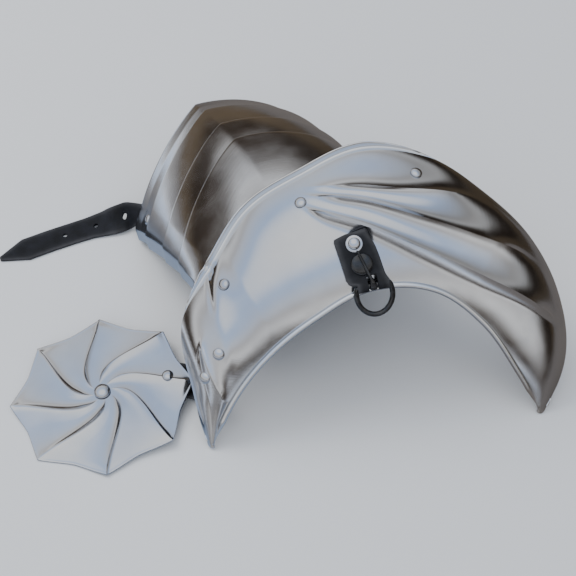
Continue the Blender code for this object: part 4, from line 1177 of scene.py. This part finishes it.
buckle = {
    "place": 0.494,
    "plateDepth": 0.112,
    "tabWidth": 0.0275,
    "foldWidth": 0.0226,
    "foldShift": 0.0033,
    "barReach": 0.0036,
    "barTurn": math.radians(7.6),
    "tabLean": -0.00060,
    "tabLength": 0.0425,
    "narrowing": 0.305,
    "widens": (0.0060, 0.0100),
    "liftAtEnd": 0.0007,
    "rivetReach": 0.0345,
    "domeReach": 0.0190,
    "bar": 0.0021,
    "frameWidth": 0.0282,
    "frameReach": 0.0245,
    "frameDrop": math.radians(8),
    "tongueTip": 0.0285,
    "tongue": 0.0015,
    "slot": (0.0078, 0.0145, 0.0145),
    "washer": (0.0066, 0.0009),
    "dome": (0.0085, 0.0022),
    "slotMiddle": (0.001, 0.0015),
    # the washer's rounded edge as inset and drop
    "washerEdge": ((0.0005, 0.0), (0.0001, 0.0002), (0.0, 0.0004)),
    # the tab's side view: shares of its length, and (reach past the bar, share of the rise) where it closes
    "layers": (0.5, 0.6, 0.7, 0.8, 0.9, 1.0),
    "closes": ((0.0026, 0.86), (0.0052, 0.45), (0.0074, 0.12), (0.0096, 0.0), (0.0140, 0.0)),
    "underEnds": 0.014,
    # the D's straight share of its reach, and the tongue's eye, start and tip
    "shoulder": 0.30,
    "eyeThick": 0.0009,
    "eyeSpan": (0.007, 0.001),
    "pinStart": (0.0004, 0.0028),
    "pinTip": 0.0012,
    "pinShares": (0.60, 0.35),
}


def neckPlace(reach, height, beside=0.0):
    # a point over the plate at the buckle: reach from the neck edge, height over the surface
    share = buckle["place"] + buckle["tabLean"] * max(reach, 0) * 1000 + beside
    point, out, run, climb = plateFrame(share, max(reach / buckle["plateDepth"], 0.004))
    return point + out * height + climb * min(reach, 0.0), out, run, climb


def barHeight():
    # the fold round the bar just clears the rolled edge behind it
    fold = buckle["bar"] + gap + hide
    return 2 * plate["rollRadius"] + sheetSteel + gap + math.sqrt(fold ** 2 - buckle["barReach"] ** 2)


def barFrame():
    # middle of the bar with its outward, running and climbing directions
    point, out, run, climb = neckPlace(buckle["barReach"], barHeight())
    run = run * math.cos(buckle["barTurn"]) + climb * math.sin(buckle["barTurn"])
    return point + run * buckle["foldShift"], out, run, np.cross(out, run)


def tabPath():
    # side view of the folded tab: under layer, round the bar and back on top
    wrap = buckle["bar"] + gap + hide / 2
    high = barHeight()
    under = gap * 2 + hide / 2
    upper = under + hide + gap * 2
    length, lift = buckle["tabLength"], buckle["liftAtEnd"]
    rows = [(length * share, under + lift * share) for share in buckle["layers"][::-1]]
    bar, rise = buckle["barReach"], high + wrap - upper
    rows += [(buckle["underEnds"], under), (bar + 0.0060, under + 0.0001),
             (bar + 0.0025, high - wrap - 0.0004)]
    rows += [(bar - wrap * math.sin(turn), high - wrap * math.cos(turn))
             for turn in np.radians(range(0, 181, 15))]
    rows += [(bar + reach, upper + rise * share) for reach, share in buckle["closes"]]
    rows += [(length * share, upper + lift * share) for share in buckle["layers"]]
    return np.array(rows)


def easedPath(path, spacing, rounds):
    # a path made even along its length and eased by averaging each point with its neighbours
    travel = distanceAlong(path)
    even = np.linspace(0, travel[-1], int(travel[-1] / spacing) + 1)
    fine = readAt(even, travel, path)
    for _ in range(rounds):
        fine[1:-1] = (fine[:-2] + 2 * fine[1:-1] + fine[2:]) / 4
    return fine


tubeSides = 20


def tubeShape(path, side, wide, thick, around):
    # an oval section carried along a path; side is the section's wide direction
    ahead = np.roll(path, -1, 0) - np.roll(path, 1, 0) if around else np.gradient(path, axis=0)
    ahead = unitRows(ahead)
    side = unitRows(side - ahead * np.sum(side * ahead, -1, keepdims=True))
    up = np.cross(ahead, side)
    turn = np.linspace(0, 2 * np.pi, tubeSides, endpoint=False)[None, :, None]
    grid = path[:, None] + side[:, None] * np.cos(turn) * wide[:, None, None]
    grid = grid + up[:, None] * np.sin(turn) * thick[:, None, None]
    if around:
        grid = np.concatenate([grid, grid[:1]])
    return grid.reshape(-1, 3), gridQuads(*grid.shape[:2], around=True)


def makeTab(centre, out, run, climb):
    # the folded leather, with a slot for the tongue at the bar
    perShare = np.linalg.norm(neckPlace(0.0, 0.0, 0.01)[0] - neckPlace(0.0, 0.0)[0]) / 0.01
    rows = []
    for reach, height in easedPath(tabPath(), 0.0007, 4):
        bent = float(smoothStep(*buckle["widens"], reach))
        middle = centre + climb * (reach - buckle["barReach"]) + out * (height - barHeight())
        width = buckle["tabWidth"] * (1 - buckle["narrowing"] * max(0, reach) / buckle["tabLength"])
        rows.append([(middle + run * buckle["foldWidth"] * step) * (1 - bent)
                     + neckPlace(reach, height, step * width / perShare)[0] * bent
                     for step in np.linspace(-0.5, 0.5, strapColumns)])
    tab = addStrap("tab_leather", "buckle_tab", np.array(rows))
    up, high = buckle["slotMiddle"]
    middle = Vector(centre) + Vector(climb) * up + Vector(out) * high
    size = np.array(buckle["slot"]) / 2
    corners = np.array([(x, y, z) for z in (-1, 1) for y in (-1, 1) for x in (-1, 1)]) * size
    sides = [(0, 2, 3, 1), (4, 5, 7, 6), (0, 1, 5, 4), (2, 6, 7, 3), (0, 4, 6, 2), (1, 3, 7, 5)]
    cutPiece(tab, [cutterFrom((placed(corners, setFrame(middle, out, run)), sides))])


def makeFrame(centre, run, climb, out):
    # a D of round wire whose straight bar lies in the tab's fold
    ahead = -climb * math.cos(buckle["frameDrop"]) - out * math.sin(buckle["frameDrop"])
    half, reach = buckle["frameWidth"] / 2, buckle["frameReach"]
    shape = [(half * share, 0.0) for share in (-0.9, -0.45, 0.0, 0.45, 0.9)]
    straight = reach * buckle["shoulder"]
    shape += [(half * math.cos(turn), straight + (reach - straight) * math.sin(turn))
              for turn in np.radians(np.linspace(-12, 192, 19))]
    path = np.array([centre + run * side + ahead * far for side, far in shape])
    path = easedPath(np.concatenate([path, path[:1]]), 0.0006, 0)[:-1]
    for _ in range(5):
        path = (np.roll(path, 1, 0) + 2 * path + np.roll(path, -1, 0)) / 4
    wire = np.full(len(path), buckle["bar"])
    side = np.broadcast_to(np.cross(run, ahead), path.shape)
    frameRing = addPiece("buckle_wire", tubeShape(path, side, wire, wire, True), blackLacquer, frameBody,
                         ["buckle_frame"], sharp=60)
    closePoles(frameRing)
    frameRing.data.shade_smooth()


def makeTongue(centre, out, run, climb):
    # flat wire wound round the bar, then a pin that lies back over the tab and thins to its tip
    ring = buckle["bar"] + gap + buckle["eyeThick"]
    top = tabPath()[-1][1] + hide / 2
    tip = neckPlace(buckle["tongueTip"], top + gap * 5 + buckle["dome"][1] + buckle["tongue"])[0]
    length = np.linalg.norm(tip - centre)
    turn = np.radians(np.linspace(-315, -8, 34))[:, None]
    wound = centre + ring * (np.cos(turn) * out + np.sin(turn) * climb)
    high, far = buckle["pinStart"]
    start = centre + out * (ring + high) + climb * far
    part = np.linspace(0, 1, 30)[:, None]
    path = easedPath(np.concatenate([wound, start * (1 - part) + tip * part]), 0.0005, 3)
    left = np.linalg.norm(path - tip, axis=1)
    before, after = buckle["eyeSpan"]
    eye = smoothStep(length - before, length + after, left)
    blunt = np.sqrt(np.clip(1 - (1 - np.clip(left / buckle["pinTip"], 0, 1)) ** 2, 0.0, 1))
    least, gain = buckle["pinShares"]
    pin = buckle["tongue"] * (least + gain * left / length) * blunt
    wide = pin * (1 - eye) + (buckle["slot"][0] / 2 - gap * 4) * eye
    thick = pin * (1 - eye) + buckle["eyeThick"] * eye
    for width in (wide, thick):
        width[[0, -1]] = 1e-7
    path = np.concatenate([path[:1], path])
    wide = np.concatenate([wide[:1], wide[1:2], wide[1:]])
    thick = np.concatenate([thick[:1], thick[1:2], thick[1:]])
    side = np.broadcast_to(run, path.shape)
    pinPiece = addPiece("buckle_pin", tubeShape(path, side, wide, thick, False), blackLacquer, tongueBody,
                        ["buckle_tongue"], sharp=50)
    closeAndShade(pinPiece, 50)


def makeBuckle():
    # tab, its two domed fixings, washer, frame and tongue
    centre, out, run, climb = barFrame()
    makeTab(centre, out, run, climb)
    top = tabPath()[-1][1] + hide / 2
    depth = top + sheetSteel + gap
    thick = buckle["washer"][1]
    point, normal, across, _ = neckPlace(buckle["rivetReach"], top)
    place = setFrame(point, normal, across)
    addRivet("head_tab", place, depth, "tab_rivet", gap * 3 + thick)
    inner, outer, low = rivet["shank"] + gap, buckle["washer"][0], gap * 2
    rows = [(outer - inset, low + thick - drop) for inset, drop in buckle["washerEdge"]]
    rows = [(inner, low + thick), *rows, (outer, low), (inner, low), (inner, low + thick)]
    addTurned("washer", rows, place, polishedSteel, node="tab_washer", steps=64)
    point, normal, across, _ = neckPlace(buckle["domeReach"], top)
    rows = rivetRows(*buckle["dome"], gap, depth)
    addTurned("black_dome", rows, setFrame(point, normal, across), blackLacquer,
              node="tab_dome", steps=72)
    makeFrame(centre, run, climb, out)
    makeTongue(centre, out, run, climb)


makeBuckle()
print("stage: buckle")


# Floor, light and camera

studio = {
    "floor": (0.80, 0.81, 0.82),
    "floorReach": 9.0,
    "floorDull": 0.9,
    # sizes of the patches that make the ground's painted reflection rings and the sky's bands uneven
    "ringPatches": 6.0,
    "skyPatches": 2.2,
    # painted reflection, what the steel sees of the ground in glossy rays: metres from the middle, colour
    "rings": ((0.20, (0.30, 0.36, 0.46)), (0.28, (0.15, 0.15, 0.16)), (0.38, (0.30, 0.27, 0.24)),
              (0.46, (0.66, 0.74, 0.86)), (0.56, (0.74, 0.84, 1.0)), (0.64, (0.96, 0.96, 0.96)),
              (0.76, (0.66, 0.64, 0.61)), (0.90, (0.30, 0.28, 0.26))),
    "ringUneven": 0.05,
    # glossy rays see a painted dark reflection beyond the back wing's side; place is half of x plus a half
    "paintedDarkReflectionSide": ((0.50, (0.0,)), (0.58, (1.0,))),
    "paintedDarkReflection": (0.16, 0.135, 0.115),
    "skyLean": (-0.15, -0.15, 1.0),
    "skyUneven": 0.10,
    # colours from the horizon to straight up, by the sine of the leaning elevation
    "sky": ((0.0, (0.16, 0.12, 0.08)), (0.08, (0.040, 0.030, 0.024)), (0.20, (0.07, 0.052, 0.040)),
            (0.27, (0.32, 0.30, 0.28)), (0.36, (1.05, 1.05, 1.05)), (0.50, (0.66, 0.64, 0.62)),
            (0.60, (0.80, 0.84, 0.92)), (0.80, (0.62, 0.78, 1.08)), (0.90, (1.10, 1.14, 1.20)),
            (1.0, (1.2, 1.2, 1.2))),
    # how bright the sky stays from the middle towards the back wing's side
    "sideways": ((0.0, (1.0,)), (0.35, (0.95,)), (0.70, (0.50,)), (1.0, (0.40,))),
    "key": ((-0.9, 1.2, 1.9), 1.4, 26.0, (1.0, 0.98, 0.95)),
    "fill": ((-1.3, -1.5, 1.4), 1.6, 10.0, (0.92, 0.96, 1.0)),
}

view = {
    "azimuth": math.radians(-25),
    "elevation": math.radians(48),
    "distance": 0.92,
    "target": (0.025992, -0.026824, 0.0499),
    "lens": 68.75,
}


def makeFloor():
    # a wide pale ground; glossy rays meet soft rings of tone about the middle instead, darker on the +X side,
    # a painted reflection for the steel
    mesh = bpy.data.meshes.new("floor")
    reach = studio["floorReach"]
    mesh.from_pydata([(-reach, -reach, 0), (reach, -reach, 0), (reach, reach, 0), (-reach, reach, 0)], [],
                     [(0, 1, 2, 3)])
    floor = bpy.data.objects.new("floor", mesh)
    bpy.context.scene.collection.objects.link(floor)
    material, nodes, links, shader = newMaterial("pale_floor_painted_reflection")
    path = nodes.new("ShaderNodeLightPath")
    coordinate = nodes.new("ShaderNodeTexCoord")
    away = nodes.new("ShaderNodeVectorMath")
    away.operation = "LENGTH"
    links.new(coordinate.outputs["Object"], away.inputs[0])
    uneven = stretchedNoise(nodes, links, coordinate.outputs["Object"], studio["ringPatches"], 2.0)
    warp = mathNode(nodes, links, "MULTIPLY_ADD", uneven, studio["ringUneven"], away.outputs["Value"])
    # painted reflection: rings of tone that only glossy rays see
    rings = rampBetween(nodes, links, warp, studio["rings"])
    parts = nodes.new("ShaderNodeSeparateXYZ")
    links.new(coordinate.outputs["Object"], parts.inputs["Vector"])
    half = mathNode(nodes, links, "MULTIPLY_ADD", parts.outputs["X"], 0.5, 0.5)
    # painted dark reflection on the +X side, seen only by glossy rays
    side = rampBetween(nodes, links, half, studio["paintedDarkReflectionSide"])
    paintedReflection = mixedColour(nodes, links, side, rings, studio["paintedDarkReflection"])
    colour = mixedColour(nodes, links, path.outputs["Is Glossy Ray"], studio["floor"], paintedReflection)
    links.new(colour, shader.inputs["Base Color"])
    shader.inputs["Roughness"].default_value = studio["floorDull"]
    mesh.materials.append(material)


def makeWorld():
    # a plain soft sky: pale above, a darker warm band low down, dimmer on the back wing's side
    world = bpy.data.worlds.new("studio")
    bpy.context.scene.world = world
    world.use_nodes = True
    nodes, links = world.node_tree.nodes, world.node_tree.links
    coordinate = nodes.new("ShaderNodeTexCoord")
    lean = nodes.new("ShaderNodeVectorMath")
    lean.operation = "DOT_PRODUCT"
    lean.inputs[1].default_value = studio["skyLean"]
    links.new(coordinate.outputs["Generated"], lean.inputs[0])
    parts = nodes.new("ShaderNodeSeparateXYZ")
    links.new(coordinate.outputs["Generated"], parts.inputs["Vector"])
    uneven = stretchedNoise(nodes, links, coordinate.outputs["Generated"], studio["skyPatches"], 3.0)
    warp = mathNode(nodes, links, "MULTIPLY_ADD", uneven, studio["skyUneven"], lean.outputs["Value"])
    lower = mathNode(nodes, links, "SUBTRACT", warp, studio["skyUneven"] / 2)
    links.new(rampBetween(nodes, links, lower, studio["sky"]), nodes["Background"].inputs["Color"])
    dim = rampBetween(nodes, links, parts.outputs["X"], studio["sideways"])
    links.new(dim, nodes["Background"].inputs["Strength"])


def addSoftLight(name, spot, size, power, colour):
    # a square softbox that looks at the middle of the armour, hidden from reflections
    light = bpy.data.lights.new(name, "AREA")
    light.size = size
    light.energy = power
    light.color = colour
    box = bpy.data.objects.new(name, light)
    box.location = spot
    box.visible_glossy = False
    box.rotation_euler = (Vector(view["target"]) - Vector(spot)).to_track_quat("-Z", "Y").to_euler()
    bpy.context.scene.collection.objects.link(box)


def makeCamera():
    # looks at the target from the photograph's azimuth and elevation
    azimuth, elevation = view["azimuth"], view["elevation"]
    back = Vector((math.sin(azimuth) * math.cos(elevation), -math.cos(azimuth) * math.cos(elevation),
                   math.sin(elevation)))
    data = bpy.data.cameras.new("camera")
    data.sensor_width = 36
    data.lens = view["lens"]
    camera = bpy.data.objects.new("camera", data)
    camera.location = Vector(view["target"]) + back * view["distance"]
    camera.rotation_euler = (-back).to_track_quat("-Z", "Y").to_euler()
    bpy.context.scene.collection.objects.link(camera)
    bpy.context.scene.camera = camera


makeFloor()
makeWorld()
addSoftLight("key", *studio["key"])
addSoftLight("fill", *studio["fill"])
makeCamera()
print("stage: studio")
